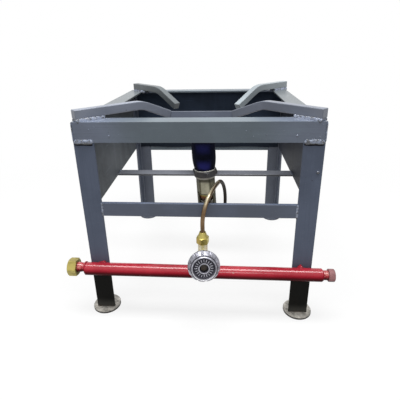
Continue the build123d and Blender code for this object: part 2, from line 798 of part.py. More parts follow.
def handwheel():
    """Cast handwheel: fluted cone behind a raised front rim, with plain raised marks on its face."""
    wheel = turned(*wheel_profile())
    cutter = flute_cutter()
    for turn in range(flute_count):
        wheel -= Rot(0, 0, flute_turn + turn * 360 / flute_count) * cutter
    inner = wheel_hub_ring_diameter / 2 + mark_inner_gap
    outer = wheel_front_rim_diameter / 2 - wheel_front_rim_wall - mark_outer_gap
    levels = (wheel_face - mark_height / 2, wheel_face + mark_height)
    for turn in range(mark_count):
        shift = mark_stagger * (turn % 3 - 1) / 2
        reach = (inner + max(shift, 0), outer + min(shift, 0))
        mark = block(reach, (-mark_width / 2, mark_width / 2), levels)
        wheel += Rot(0, 0, turn * 360 / mark_count) * mark
    return spindle_place() * wheel


def handwheel_nut():
    nut = hex_nut(wheel_nut_flats, wheel_hub_floor, wheel_hub_floor + wheel_nut_height)
    hole_diameter = spindle_tail_diameter + 2 * running_clearance
    nut -= rod(hole_diameter, wheel_hub_floor, wheel_hub_floor + wheel_nut_height)
    return spindle_place() * nut


def valve_flare_nut():
    """Flare nut at the valve's outlet: hexagon below and a cone drawn in to the tube above."""
    top = valve_nut_hex + valve_nut_cone
    foot_height, shoulder = valve_nut_hex - valve_nut_shoulder, valve_nut_hex + valve_nut_shoulder
    nut = Rot(0, 0, valve_nut_turn) * hex_nut(valve_nut_flats, 0, valve_nut_hex)
    nut += turned((0, foot_height), (valve_nut_flats / 2, foot_height),
                  (valve_nut_flats / 2 - valve_nut_shoulder, shoulder),
                  (tube_diameter / 2 + valve_nut_mouth_wall, top), (0, top))
    nut -= rod(flare_diameter + 2 * screwed_clearance, 0, flare_length)
    nut -= rod(tube_diameter + 2 * screwed_clearance, 0, top)
    return Pos(valve_x, pipe_y, outlet_stub_top) * nut


def inlet_nipple():
    """Nipple in the pipe's left end, with a nose that keeps the union nut on."""
    inner = pipe_left + nipple_insert
    outer = nose_right - inlet_nose_length
    insert = pipe_place(pipe_left) * rod(pipe_bore - 2 * weld_gap, 0, nipple_insert)
    neck_length, nose_radius = pipe_left - outer, inlet_nose_diameter / 2
    shoulder = union_nut_right + inlet_shoulder_gap - outer
    neck = rod(inlet_neck_diameter, 0, shoulder)
    neck += turned((0, shoulder), (inlet_shoulder_diameter / 2, shoulder),
                   (inlet_root_diameter / 2, neck_length), (0, neck_length))
    nose = turned((0, 0), (nose_radius - inlet_nose_chamfer, 0), (nose_radius, inlet_nose_chamfer),
                  (nose_radius, inlet_nose_length), (0, inlet_nose_length))
    outside = inlet_place(outer) * (neck + nose)
    return insert + outside - inlet_place(outer) * rod(nipple_bore, 0, inner - outer)


def union_nut():
    """Swivelling inlet nut: threaded mouth to the left, back wall running on the nipple's neck."""
    nut = Rot(0, 0, union_nut_turn) * hex_nut(union_nut_flats, 0, union_nut_length)
    chamber_end = union_nut_length - union_nut_wall
    nut -= rod(union_nut_thread, 0, chamber_end)
    nut -= rod(union_nut_chamber, chamber_end - union_nut_chamber_length, chamber_end)
    nut -= rod(inlet_neck_diameter + 2 * running_clearance, 0, union_nut_length)
    return inlet_place(union_nut_left) * nut


def outlet_nipple():
    inner = pipe_right - nipple_insert
    outer = pipe_right + outlet_neck_length + cap_length - cap_end_wall
    insert = pipe_place(inner) * rod(pipe_bore - 2 * weld_gap, 0, nipple_insert)
    neck = pipe_place(pipe_right) * rod(outlet_nipple_diameter, 0, outer - pipe_right)
    return insert + neck - pipe_place(inner) * rod(nipple_bore, 0, outer - inner)


def end_cap():
    left = pipe_right + outlet_neck_length
    cap = chamfer(rod(cap_diameter, 0, cap_length).edges(), cap_chamfer)
    cap -= rod(outlet_nipple_diameter + 2 * screwed_clearance, 0, cap_length - cap_end_wall)
    return pipe_place(left) * cap


def burner_nodes():
    return {
        "burner_collar": burner_collar(),
        "burner_flame_tube": flame_tube(),
        "burner_head": burner_head(),
        "burner_collar_washer": collar_washer(),
        "burner_body": burner_body(),
        "burner_air_neck": air_neck(),
        "burner_base_ring": base_ring(),
        "gas_jet": gas_jet(),
        "burner_inlet_elbow": inlet_elbow(),
        "burner_flare_nut": burner_flare_nut(),
    }


def gas_rail_nodes():
    left_weld_x = -half_width + left_pipe_weld_inset
    right_weld_x = half_width - right_pipe_weld_inset
    return {
        "gas_pipe": gas_pipe(),
        "left_pipe_weld": pipe_weld(left_weld_x, left_pipe_weld_runs, left_pipe_weld_radius),
        "right_pipe_weld": pipe_weld(right_weld_x, right_pipe_weld_runs, right_pipe_weld_radius),
        "inlet_nipple": inlet_nipple(),
        "union_nut": union_nut(),
        "outlet_nipple": outlet_nipple(),
        "end_cap": end_cap(),
        "valve_socket": valve_socket(),
    }


def valve_nodes():
    return {
        "valve_body": valve_body(),
        "valve_packing": valve_packing(),
        "valve_gland_nut": gland_nut(),
        "valve_spindle": valve_spindle(),
        "handwheel": handwheel(),
        "handwheel_nut": handwheel_nut(),
        "valve_flare_nut": valve_flare_nut(),
        "copper_tube": copper_tube(),
    }


def all_nodes():
    found = stand_nodes()
    found.update(skirt_nodes())
    reach = half_width - angle_leg
    found["front_crossbar"] = crossbar((-reach, reach), (-half_depth, -half_depth + crossbar_thickness))
    rear_ends, rear_faces = (-reach + rear_left_leg_inset, reach), (half_depth - angle_thickness, half_depth)
    found["rear_crossbar"] = crossbar(rear_ends, rear_faces)
    found["left_burner_bar"] = burner_bar(-1)
    found["right_burner_bar"] = burner_bar(1)
    for corner in corner_places:
        found[f"{corner}_arm_seat"] = arm_seat(corner)
        found[f"{corner}_pan_arm"] = support_arm(corner)
    found["pan_arm_tie_strip"] = arm_tie_strip()
    found.update(burner_nodes())
    found.update(gas_rail_nodes())
    found.update(valve_nodes())
    return found


def origin_shift(found):
    """Move that puts the origin under the middle of the whole model's box, on the floor."""
    box = Compound(children=[Compound(piece.solids()) for piece in found.values()]).bounding_box()
    middle = box.center()
    return Vector(-middle.X, -middle.Y, -box.min.Z)


pieces = all_nodes()
shift = origin_shift(pieces)
print("moved from the footprint's middle by", [round(value, 3) for value in (shift.X, shift.Y, shift.Z)])
os.makedirs("parts", exist_ok=True)
for name, piece in pieces.items():
    export_step(Pos(shift) * piece, f"parts/{name}.step")
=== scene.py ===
import functools
import json
import math
import random

import bpy
from bpy.props import FloatProperty, FloatVectorProperty, IntProperty, PointerProperty
from mathutils import Matrix, Vector, noise


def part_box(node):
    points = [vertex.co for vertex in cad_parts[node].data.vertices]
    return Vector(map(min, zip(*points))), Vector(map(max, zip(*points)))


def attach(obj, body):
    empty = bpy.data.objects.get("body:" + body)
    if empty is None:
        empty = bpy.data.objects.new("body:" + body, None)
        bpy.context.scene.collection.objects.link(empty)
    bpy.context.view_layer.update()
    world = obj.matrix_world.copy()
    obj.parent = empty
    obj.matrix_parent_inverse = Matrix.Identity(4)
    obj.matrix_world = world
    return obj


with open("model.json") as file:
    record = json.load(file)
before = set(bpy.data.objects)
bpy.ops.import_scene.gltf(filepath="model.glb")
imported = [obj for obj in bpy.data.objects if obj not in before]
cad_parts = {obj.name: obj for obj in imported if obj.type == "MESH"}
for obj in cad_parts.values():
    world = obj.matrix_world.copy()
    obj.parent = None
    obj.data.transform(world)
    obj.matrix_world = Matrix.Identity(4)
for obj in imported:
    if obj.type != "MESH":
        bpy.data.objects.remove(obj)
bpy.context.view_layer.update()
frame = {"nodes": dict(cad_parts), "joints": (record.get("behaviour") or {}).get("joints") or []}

bl_info = {
    "name": "Wok Burner Stove",
    "version": (1, 0, 0),
    "blender": (4, 5, 0),
    "location": "View3D > Sidebar > Stove",
    "description": "Paints, welds and lights the welded stand, its burner and its gas pipe",
    "category": "Object",
}

STAND_BODY = "stove"
FRONT_LEGS = ("front_left_leg", "front_right_leg")
REAR_LEGS = ("rear_right_leg", "rear_left_leg")
FRONT_FEET = ("front_left_foot", "front_right_foot")
REAR_FEET = ("rear_right_foot", "rear_left_foot")
LEGS = FRONT_LEGS + REAR_LEGS
CORNERS = ((-1, -1), (1, -1), (1, 1), (-1, 1))
RAILS_ACROSS = ("front_top_rail", "rear_top_rail")
RAILS_DEEP = ("left_top_rail", "right_top_rail")
BURNER_BARS = ("left_burner_bar", "right_burner_bar")

# Each pan arm: the way it runs inwards in X and in Y, and how much lighter than the frame its paint is made:
# painted light and shade for the way each arm faces the lamps
ARMS = {
    "front_left_pan_arm": (1, 1, 1.75),
    "front_right_pan_arm": (-1, 1, 1.45),
    "rear_right_pan_arm": (-1, -1, 2.2),
    "rear_left_pan_arm": (1, -1, 0.82),
}

# Drops of weld metal that stand out on the front: X from the middle, height and radius
FRONT_DROPS = (
    (-0.1328, 0.3278, 0.0016),
    (0.1482, 0.3280, 0.0016),
    (0.1835, 0.2707, 0.0030),
)

# The handwheel's cone: its small radius, how deep that lies behind the front rim, and how it widens
WHEEL_CONE_TOP = 0.0211
WHEEL_CONE_DEPTH = 0.003
WHEEL_CONE_SPREAD = 0.66

# The handwheel's areas of painted shade and highlight: the radii, and the depths behind its front, between
# which each fades in and out
HUB_HOLE_RADII = (0.0074, 0.0069)
HUB_RIM_RADII = (0.0069, 0.0073, 0.0084, 0.0088)
HUB_RIM_DEPTHS = (0.0022, 0.0016)
SUNK_FACE_RADII = (0.0176, 0.0171)
SUNK_FACE_DEPTHS = (0.0030, 0.0035)
FRONT_RING_RADII = (0.0166, 0.0172)
FRONT_RING_DEPTHS = (0.0028, 0.0012)
RIM_SEAM_RADII = (0.0195, 0.0197, 0.0208, 0.0214)
RIM_SEAM_DEPTHS = (0.0042, 0.0034)

# Heights above the collar where the flame tube's painted blue sheen starts, is full, fades and ends
BLUE_SHEEN_PATCH = (0.001, 0.009, 0.011, 0.028)
BLUE_SHEEN_BAND = (0.036, 0.048, 0.050, 0.064)
# Heights from the top of the copper tube's bend between which it gets a pale painted highlight
HIGHLIGHT_STRETCH = (-0.028, -0.008, -0.001, 0.001)

# How the paint differs from place to place: factors on its red, green and blue. The two skirt factors are
# painted shade.
GREENISH = (0.88, 0.98, 0.86)
WARM = (1.2, 1.16, 0.9)
GREY = (1.06, 1.0, 0.9)
DARK_BLUE = (0.63, 0.67, 0.73)
DARK_GREY = (0.62, 0.55, 0.46)
SHADED_SKIRT = (0.50, 0.50, 0.58)
NAVY_SHADED_SKIRT = (0.42, 0.56, 0.84)

# The burner's heated pieces: name of the finish, colour, tint of its clouds, roughness, metal and share of
# painted highlight on its edges
HEATED_METALS = {
    "burner_collar": ("collar steel", (0.040, 0.041, 0.048), (0.075, 0.070, 0.065), 0.3, 0.5, 0.9),
    "burner_collar_washer": ("washer steel", (0.42, 0.41, 0.37), (0.30, 0.28, 0.22), 0.34, 0.5, 0.5),
    "burner_head": ("head iron", (0.05, 0.047, 0.045), (0.10, 0.06, 0.04), 0.6, 0.3, 0.0),
    "burner_base_ring": ("ring metal", (0.42, 0.41, 0.38), (0.30, 0.28, 0.24), 0.34, 0.85, 0.0),
}

# Dirt, dust, sooty black and rust, and painted shade
PALE_DUST = (0.30, 0.31, 0.31)
FLOOR_DUST = (0.17, 0.165, 0.15)
RUST = (0.12, 0.065, 0.032)
DARK_RUST = (0.016, 0.013, 0.010)
RUST_SPOT = (0.035, 0.026, 0.020)
BROWN_PIT = (0.16, 0.12, 0.08)
WELD_UNDERSIDE_SHADE = (0.010, 0.010, 0.014)
SHEET_TOP_SHADE = (0.008, 0.010, 0.013)
SHEET_LOW_SHADE = (0.006, 0.008, 0.012)
TUBE_SOOT = ((0.003, 0.004, 0.010), (0.008, 0.009, 0.026))
BODY_WASHER_SHADOW = (0.030, 0.028, 0.018)
BODY_DARK_LOW = (0.035, 0.032, 0.022)
BELL_SOOT = (0.014, 0.009, 0.006)
UNDERSIDE_SHADE = (0.012, 0.010, 0.010)
WHEEL_RECESS_SHADE = (0.022, 0.020, 0.032)
FOOT_SIDE_SHADE = (0.030, 0.026, 0.023)

# Worn, burnt and bright places, and painted highlights and shade
CHIPPED = (0.05, 0.042, 0.036)
WELD_GLINT = (0.72, 0.74, 0.80)
FRESH_RED = (0.56, 0.05, 0.07)
PRIMER = (0.42, 0.19, 0.17)
RUBBED_PRIMER = (0.60, 0.27, 0.23)
EDGE_PRIMER = (0.30, 0.12, 0.11)
BRASS_PATINA = (0.13, 0.11, 0.03)
BRASS_EDGE = (0.95, 0.85, 0.55)
PALE_BRASS = (0.95, 0.92, 0.72)
EDGE_HIGHLIGHT_STEEL = (0.50, 0.49, 0.46)
BODY_SHADED_OLIVE = ((0.075, 0.070, 0.038), (0.16, 0.15, 0.085))
BELL_YELLOW = (0.34, 0.30, 0.070)
BROWN_COPPER = (0.10, 0.065, 0.035)
COPPER_HIGHLIGHT = (0.60, 0.54, 0.38)
BURNT_COPPER = (0.020, 0.016, 0.012)
WHEEL_EDGE = (0.80, 0.80, 0.84)
WHEEL_HIGHLIGHT = (0.86, 0.86, 0.90)
PACKING = ((0.62, 0.61, 0.56), (0.78, 0.77, 0.73))


def middle_of(node):
    low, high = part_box(node)
    return (low + high) / 2


def joint_line(name):
    """Point and direction of a joint's axis, in the model's frame."""
    found = next(joint for joint in frame["joints"] if joint["name"] == name)
    return Vector(found["pos_m"]), Vector(found["axis"]).normalized()


FOOTPRINT_MIDDLE = Vector((middle_of("front_top_rail").x, middle_of("left_top_rail").y, 0))


class StovePaintSettings(bpy.types.PropertyGroup):
    """Paints of the stand, the skirts and the gas pipe"""

    frame_colour: FloatVectorProperty(
        name="Frame paint", description="Enamel on the rails, legs, bars and arms",
        subtype="COLOR", size=3, min=0, max=1, default=(0.097, 0.115, 0.160))
    skirt_colour: FloatVectorProperty(
        name="Skirt paint", description="Dull enamel on the sheet skirts",
        subtype="COLOR", size=3, min=0, max=1, default=(0.072, 0.080, 0.088))
    pipe_colour: FloatVectorProperty(
        name="Pipe paint", description="Red enamel on the gas pipe",
        subtype="COLOR", size=3, min=0, max=1, default=(0.38, 0.012, 0.028))
    leg_end_colour: FloatVectorProperty(
        name="Leg ends", description="Black paint on the legs' lower ends",
        subtype="COLOR", size=3, min=0, max=1, default=(0.007, 0.007, 0.006))
    stroke_size: FloatProperty(
        name="Stroke width", description="Width of one brush mark in the enamel",
        subtype="DISTANCE", unit="LENGTH", min=0.0002, max=0.01, default=0.0011)
    chip_amount: FloatProperty(
        name="Edge chips", description="How much of the paint has chipped off along the edges",
        subtype="FACTOR", min=0, max=1, default=0.35)


class StoveMetalSettings(bpy.types.PropertyGroup):
    """Bare metals of the burner, the valve and the feet"""

    brass_colour: FloatVectorProperty(
        name="Brass", description="Turned brass of the nuts and the valve",
        subtype="COLOR", size=3, min=0, max=1, default=(0.50, 0.42, 0.13))
    copper_colour: FloatVectorProperty(
        name="Copper", description="Copper tube where it is clean",
        subtype="COLOR", size=3, min=0, max=1, default=(0.20, 0.128, 0.070))
    aluminium_colour: FloatVectorProperty(
        name="Cast aluminium", description="Die-cast handwheel",
        subtype="COLOR", size=3, min=0, max=1, default=(0.40, 0.40, 0.45))
    steel_colour: FloatVectorProperty(
        name="Steel", description="Bare mild steel",
        subtype="COLOR", size=3, min=0, max=1, default=(0.46, 0.44, 0.40))
    flame_tube_colour: FloatVectorProperty(
        name="Flame tube", description="Dark blue paint on the flame tube",
        subtype="COLOR", size=3, min=0, max=1, default=(0.030, 0.032, 0.190))
    body_colour: FloatVectorProperty(
        name="Burner body", description="Dull cast metal of the burner's mixing body",
        subtype="COLOR", size=3, min=0, max=1, default=(0.46, 0.45, 0.33))
    neck_colour: FloatVectorProperty(
        name="Burner neck", description="Brown, heat-stained neck",
        subtype="COLOR", size=3, min=0, max=1, default=(0.20, 0.075, 0.022))


class StoveWeldSettings(bpy.types.PropertyGroup):
    """Sizes of the weld beads"""

    bead_width: FloatProperty(
        name="Bead width", description="Width of the welds between the bars",
        subtype="DISTANCE", unit="LENGTH", min=0.001, max=0.02, default=0.0062)
    bead_height: FloatProperty(
        name="Bead height", description="How far a weld stands proud of the bars",
        subtype="DISTANCE", unit="LENGTH", min=0.0002, max=0.006, default=0.0016)
    ripple: FloatProperty(
        name="Ripple length", description="Distance from one ripple of a weld to the next",
        subtype="DISTANCE", unit="LENGTH", min=0.0005, max=0.006, default=0.0021)
    spatter_count: IntProperty(
        name="Spatter", description="Number of weld spatter drops on the bars",
        min=0, max=400, default=16)


class StoveStageSettings(bpy.types.PropertyGroup):
    """Floor, lights and lens"""

    floor_colour: FloatVectorProperty(
        name="Floor", description="Colour of the plain floor",
        subtype="COLOR", size=3, min=0, max=1, default=(0.88, 0.88, 0.88))
    floor_bounce: FloatProperty(
        name="Floor bounce", description="Share of its light that the floor throws back up on the stove",
        subtype="FACTOR", min=0, max=1, default=0.4)
    top_light: FloatProperty(
        name="Top light", description="Power of the large soft light overhead",
        unit="POWER", min=0, max=500, default=31.0)
    top_light_width: FloatProperty(
        name="Top light width", description="Width of the light overhead, across the stove",
        subtype="DISTANCE", unit="LENGTH", min=0.1, max=4, default=1.7)
    top_light_depth: FloatProperty(
        name="Top light depth", description="Depth of the light overhead, from front to back",
        subtype="DISTANCE", unit="LENGTH", min=0.1, max=4, default=0.6)
    front_light: FloatProperty(
        name="Front light", description="Power of the soft light beside the camera",
        unit="POWER", min=0, max=500, default=3.5)
    front_light_width: FloatProperty(
        name="Front light width", description="Width of the light beside the camera",
        subtype="DISTANCE", unit="LENGTH", min=0.1, max=4, default=0.45)
    room_light: FloatProperty(
        name="Room light", description="Strength of the even light from all sides",
        subtype="FACTOR", min=0, max=2, default=0.45)
    focal_length: FloatProperty(
        name="Focal length", description="Lens of the camera on a 36 mm sensor",
        subtype="DISTANCE_CAMERA", min=10, max=200, default=30.94)


class Link:
    """An output socket of a material's nodes that takes part in Python arithmetic."""

    def __init__(self, shade, socket):
        self.shade = shade
        self.socket = socket

    def __add__(self, other):
        return self.shade.maths("ADD", self, other)

    __radd__ = __add__

    def __sub__(self, other):
        return self.shade.maths("SUBTRACT", self, other)

    def __rsub__(self, other):
        return self.shade.maths("SUBTRACT", other, self)

    def __mul__(self, other):
        return self.shade.maths("MULTIPLY", self, other)

    __rmul__ = __mul__


class Shade:
    """The nodes of one material, or of the room, under construction."""

    def __init__(self, name, store="materials"):
        self.owner = getattr(bpy.data, store).new(name)
        self.owner.use_nodes = True
        self.base = None
        self.tree = self.owner.node_tree
        self.tree.nodes.clear()

    def make(self, kind, settings=None, sockets=None, out=0):
        """Any node: its settings first, then the values or links of its sockets."""
        node = self.tree.nodes.new(kind)
        for key, value in (settings or {}).items():
            setattr(node, key, value)
        for key, value in (sockets or {}).items():
            self.feed(node.inputs[key], value)
        return Link(self, node.outputs[out]) if node.outputs else None

    def feed(self, socket, value):
        if isinstance(value, Link):
            self.tree.links.new(value.socket, socket)
        elif socket.type == "RGBA":
            socket.default_value = (*tuple(value)[:3], 1.0)
        else:
            socket.default_value = value

    def maths(self, operation, a, b=0.0):
        return self.make("ShaderNodeMath", {"operation": operation}, {0: a, 1: b})

    def greatest(self, *values):
        return functools.reduce(lambda a, b: self.maths("MAXIMUM", a, b), values)

    def unsigned(self, value):
        return self.maths("ABSOLUTE", value)

    def vector(self, operation, a, b=(0, 0, 0)):
        outlet = "Value" if operation in ("DOT_PRODUCT", "LENGTH") else "Vector"
        return self.make("ShaderNodeVectorMath", {"operation": operation}, {0: a, 1: b}, outlet)

    def mix(self, share, a, b, blend="MIX"):
        """Colour a where share is 0 and colour b where it is 1."""
        settings = {"data_type": "RGBA", "blend_type": blend, "clamp_factor": True}
        return self.make("ShaderNodeMix", settings, {0: share, 6: a, 7: b}, 2)

    def ramp(self, value, low, high, to_low=0.0, to_high=1.0):
        """Smooth step of a value from to_low at low to to_high at high."""
        sockets = {"Value": value, "From Min": low, "From Max": high, "To Min": to_low, "To Max": to_high}
        return self.make("ShaderNodeMapRange", {"interpolation_type": "SMOOTHSTEP"}, sockets)

    def band(self, value, start, full, fading, end):
        """Rises from 0 at start to 1 at full, and falls from 1 at fading to 0 at end."""
        return self.ramp(value, start, full) * self.ramp(value, end, fading)

    def mottle(self, grain, low, high, colour, dark, light):
        """A colour that drifts with a grain, from one share of itself to another."""
        return self.mix(self.ramp(grain, low, high), scaled(colour, dark), scaled(colour, light))

    @functools.cached_property
    def place(self):
        """Where a point lies on the stove, in metres."""
        return self.make("ShaderNodeTexCoord", out="Object")

    def axis(self, name, source=None):
        return self.make("ShaderNodeSeparateXYZ", None, {0: source or self.place}, name)

    def level(self, clouds, waver, base=0.0):
        """Height above a base, with a line of equal height that wavers with the clouds."""
        return self.axis("Z") - base + (clouds - 0.5) * waver

    def turned(self, heading):
        """Coordinates turned about the upright axis, so that a slanted bar runs along local X."""
        settings = {"rotation_type": "Z_AXIS"}
        return self.make("ShaderNodeVectorRotate", settings, {"Vector": self.place, "Angle": heading})

    def grain(self, scale, detail=3.0, rough=0.5, drawn=None, source=None, warp=0.0):
        """Noise from 0 to 1. drawn holds the axes it is drawn out along and its share of the scale there."""
        where = source or self.place
        if drawn:
            axes, share = drawn
            where = self.vector("MULTIPLY", where, tuple(share if name in axes else 1.0 for name in "XYZ"))
        sockets = {"Vector": where, "Scale": scale, "Detail": detail, "Roughness": rough, "Distortion": warp}
        return self.make("ShaderNodeTexNoise", None, sockets)

    def dots(self, scale, size):
        """Round dots scattered over the surface: 1 in a dot and 0 around it."""
        sockets = {"Vector": self.place, "Scale": scale}
        distance = self.make("ShaderNodeTexVoronoi", {"feature": "F1"}, sockets, "Distance")
        return self.ramp(distance, size, size * 0.7)

    def soft_normal(self, radius):
        """Surface normal rounded over the edges."""
        return self.make("ShaderNodeBevel", {"samples": 4}, {"Radius": radius})

    def edge_share(self, soft):
        """Rises from 0 on open faces towards 1 on convex and concave edges."""
        true_normal = self.make("ShaderNodeNewGeometry", out="True Normal")
        return 1.0 - self.vector("DOT_PRODUCT", soft, true_normal)

    def facing(self, name):
        """How far the surface faces along an axis, from -1 to 1."""
        return self.axis(name, self.make("ShaderNodeNewGeometry", out="Normal"))

    def seen(self):
        """1 where a surface is seen, also in metal or through glass, and 0 where it only gives light."""
        rays = ("Is Camera Ray", "Is Glossy Ray", "Is Transmission Ray")
        return self.greatest(*(self.make("ShaderNodeLightPath", out=ray) for ray in rays))

    def over(self, colour, share):
        """Lay a colour over the base where a share is 1."""
        self.base = self.mix(share, self.base, colour)

    def surface(self, rough, metal, height, depth, soft=None, coat=0.0, coat_rough=0.1, shine=0.5):
        """Finish the material with one main shader on its base colour, and a bump."""
        bump = {"Height": height, "Distance": depth, "Strength": 1.0}
        if soft is not None:
            bump["Normal"] = soft
        sockets = {"Base Color": self.base, "Roughness": rough, "Metallic": metal,
                   "Specular IOR Level": shine, "Coat Weight": coat, "Coat Roughness": coat_rough,
                   "Normal": self.make("ShaderNodeBump", None, bump)}
        shader = self.make("ShaderNodeBsdfPrincipled", None, sockets)
        self.make("ShaderNodeOutputMaterial", None, {"Surface": shader})
        return self.owner


def tinted(colour, red, green, blue):
    """A colour with a factor for each of its channels."""
    return tuple(channel * factor for channel, factor in zip(tuple(colour), (red, green, blue)))


def scaled(colour, factor):
    return tinted(colour, factor, factor, factor)


def blended(a, b, share):
    return tuple(x + (y - x) * share for x, y in zip(tuple(a), tuple(b)))


def brushed_enamel(name, colour, paint, along="X", heading=0.0, dark_ends=None, far_colour=None, top=1.0,
                   shine=0.5):
    """Enamel brushed along a bar: faint strokes, cloudy patches, dust specks and chipped edges.

    It drifts to far_colour away from the stove's middle, and its top faces are painted lighter by the factor
    top: painted light from above.
    """
    shade = Shade(name)
    where = shade.turned(heading) if heading else shade.place
    strokes = shade.grain(1.0 / paint.stroke_size, 4.0, 0.6, (along, 0.018), where)
    clouds = shade.grain(9.0, 4.0, 0.55, source=where, warp=0.6)
    smears = shade.grain(38.0, 5.0, 0.65, (along, 0.25), where)
    specks = shade.dots(210.0, 0.10)
    soft = shade.soft_normal(0.0009)
    shade.base = shade.mottle(clouds, 0.35, 0.7, colour, 0.84, 1.1)
    if far_colour:
        away = shade.unsigned(shade.axis("X") - FOOTPRINT_MIDDLE.x) + (clouds - 0.5) * 0.03
        far = shade.mottle(clouds, 0.35, 0.7, far_colour, 0.88, 1.12)
        shade.over(far, shade.ramp(away, 0.07, 0.17))
    # Painted light: faces that look up are made lighter by the factor top.
    wear_and_sheen = shade.mix(1.0, shade.base, (top, top, top), "MULTIPLY")
    shade.over(wear_and_sheen, shade.ramp(shade.facing("Z"), 0.55, 0.9))
    shade.over(scaled(colour, 1.5), shade.ramp(smears, 0.52, 0.8) * 0.45)
    shade.over(scaled(colour, 0.72), shade.ramp(strokes, 0.45, 0.75) * 0.3)
    shade.over(PALE_DUST, specks * 0.25)
    stains = shade.dots(46.0, 0.055) * shade.ramp(clouds, 0.4, 0.6)
    shade.over(RUST_SPOT, stains * 0.8)
    worn = shade.ramp(shade.edge_share(soft) * (0.35 + smears), 0.16, 0.34) * paint.chip_amount
    shade.over(CHIPPED, worn)
    if dark_ends:
        black_ends(shade, clouds, smears, *dark_ends)
    rough = 0.36 + 0.16 * clouds + 0.08 * strokes + 0.25 * worn
    height = strokes * 0.6 + smears * 0.7 + shade.grain(520.0, 2.0) * 0.35 + specks * 0.6 - worn * 0.8
    coat = 0.6 * shine
    return shade.surface(rough, 0.0, height, 0.00012, soft, coat=coat, coat_rough=0.18, shine=shine)


def black_ends(shade, clouds, smears, full, start, colour):
    """Near black on a leg from a height down, rusty in patches and dusty near the floor."""
    level = shade.level(clouds, 0.012)
    black = shade.mix(shade.ramp(smears, 0.5, 0.75) * 0.6, colour, DARK_RUST)
    black = shade.mix(shade.ramp(level, 0.024, 0.006) * 0.3, black, FLOOR_DUST)
    shade.over(black, shade.ramp(level, start, full))


def weld_enamel(name, colour):
    """Thick glossy enamel over weld metal, with bright glints on the ripples and painted shade on their
    undersides.
    """
    shade = Shade(name)
    clouds = shade.grain(160.0, 4.0, 0.6, warp=0.6)
    glints = shade.dots(520.0, 0.22)
    shade.base = shade.mottle(clouds, 0.38, 0.6, colour, 0.25, 2.2)
    shade.over(WELD_GLINT, glints * 0.9)
    # Painted shade: faces that look down are darkened.
    shade.over(WELD_UNDERSIDE_SHADE, shade.ramp(shade.facing("Z"), 0.0, -0.5))
    soft = shade.soft_normal(0.0003)
    height = clouds + glints * 0.5
    return shade.surface(0.16 + 0.25 * clouds, 0.0, height, 0.0003, soft, coat=1.0, coat_rough=0.08)


def dull_sheet_paint(name, colour, top_shade, shine, shaded_below=0.0):
    """Thin dull paint on sheet, with painted shade near its top and below a height, dry drips and scratches.
    """
    shadow_start, shadow_full = 0.25, 0.345
    shade = Shade(name)
    clouds = shade.grain(5.5, 5.0, 0.6, warp=0.8)
    drips = shade.grain(60.0, 4.0, 0.6, ("Z", 0.06))
    dust = shade.grain(340.0, 3.0, 0.6)
    scratches = shade.ramp(shade.grain(700.0, 2.0, 0.5, ("XY", 0.02), warp=0.3), 0.70, 0.76)
    # Painted shade: darker near the top, under the rails, and below a height.
    top_shadow = shade.ramp(shade.level(clouds, 0.12), shadow_start, shadow_full)
    painted_shade = shade.ramp(shade.level(clouds, 0.012), shaded_below, shaded_below - 0.003)
    shade.base = shade.mottle(clouds, 0.3, 0.72, colour, 0.55, 1.4)
    shade.over(scaled(colour, 1.75), shade.ramp(drips, 0.5, 0.8) * 0.35)
    shade.over(SHEET_TOP_SHADE, top_shadow * top_shade)
    shade.over(SHEET_LOW_SHADE, painted_shade * 0.8)
    shade.over(scaled(colour, 3.2), scratches * 0.4)
    shade.over(scaled(colour, 2.6), shade.ramp(dust, 0.62, 0.8) * 0.22)
    rough = 0.5 + 0.2 * clouds - 0.1 * drips
    height = drips * 0.6 + dust * 0.25 + clouds * 0.4
    return shade.surface(rough, 0.0, height, 0.00012, shade.soft_normal(0.0006), shine=shine)


def red_enamel(name, colour, wear_and_sheen=0.0):
    """Red enamel with runs and knocks down to primer: glossy from above and dull underneath, with painted
    shade on its underside.

    wear_and_sheen is the share that wrenches have worn pale in patches.
    """
    shade = Shade(name)
    clouds = shade.grain(14.0, 4.0, 0.6, ("X", 0.5))
    runs = shade.grain(120.0, 3.0, 0.5, ("X", 0.12))
    peel = shade.grain(620.0, 2.0, 0.5)
    patches = shade.grain(210.0, 3.0, 0.6, warp=0.8)
    knocks = shade.dots(64.0, 0.13) * shade.ramp(runs, 0.5, 0.6)
    soft = shade.soft_normal(0.0008)
    worn = shade.ramp(shade.edge_share(soft) * (0.4 + runs), 0.22, 0.4)
    fresh = blended(colour, FRESH_RED, 0.5)
    shade.base = shade.mix(shade.ramp(clouds, 0.32, 0.7), scaled(colour, 0.72), fresh)
    shade.over(scaled(colour, 0.5), shade.ramp(runs, 0.55, 0.8) * 0.4)
    shade.over(PRIMER, knocks * 0.75)
    shade.over(RUBBED_PRIMER, shade.ramp(patches, 0.46, 0.6) * wear_and_sheen)
    shade.over(EDGE_PRIMER, worn * 0.6)
    # Painted shade: faces that look down are darkened.
    shade.over(scaled(colour, 0.10), shade.ramp(shade.facing("Z"), 0.42, -0.3) * 0.92)
    gloss = shade.ramp(shade.facing("Z"), 0.25, 0.78)
    rough = 0.24 + 0.2 * clouds + 0.3 * knocks
    height = peel * 0.3 + runs * 0.9 - knocks * 0.8
    return shade.surface(rough, 0.0, height, 0.00012, soft, coat=gloss, coat_rough=0.17, shine=0.04)


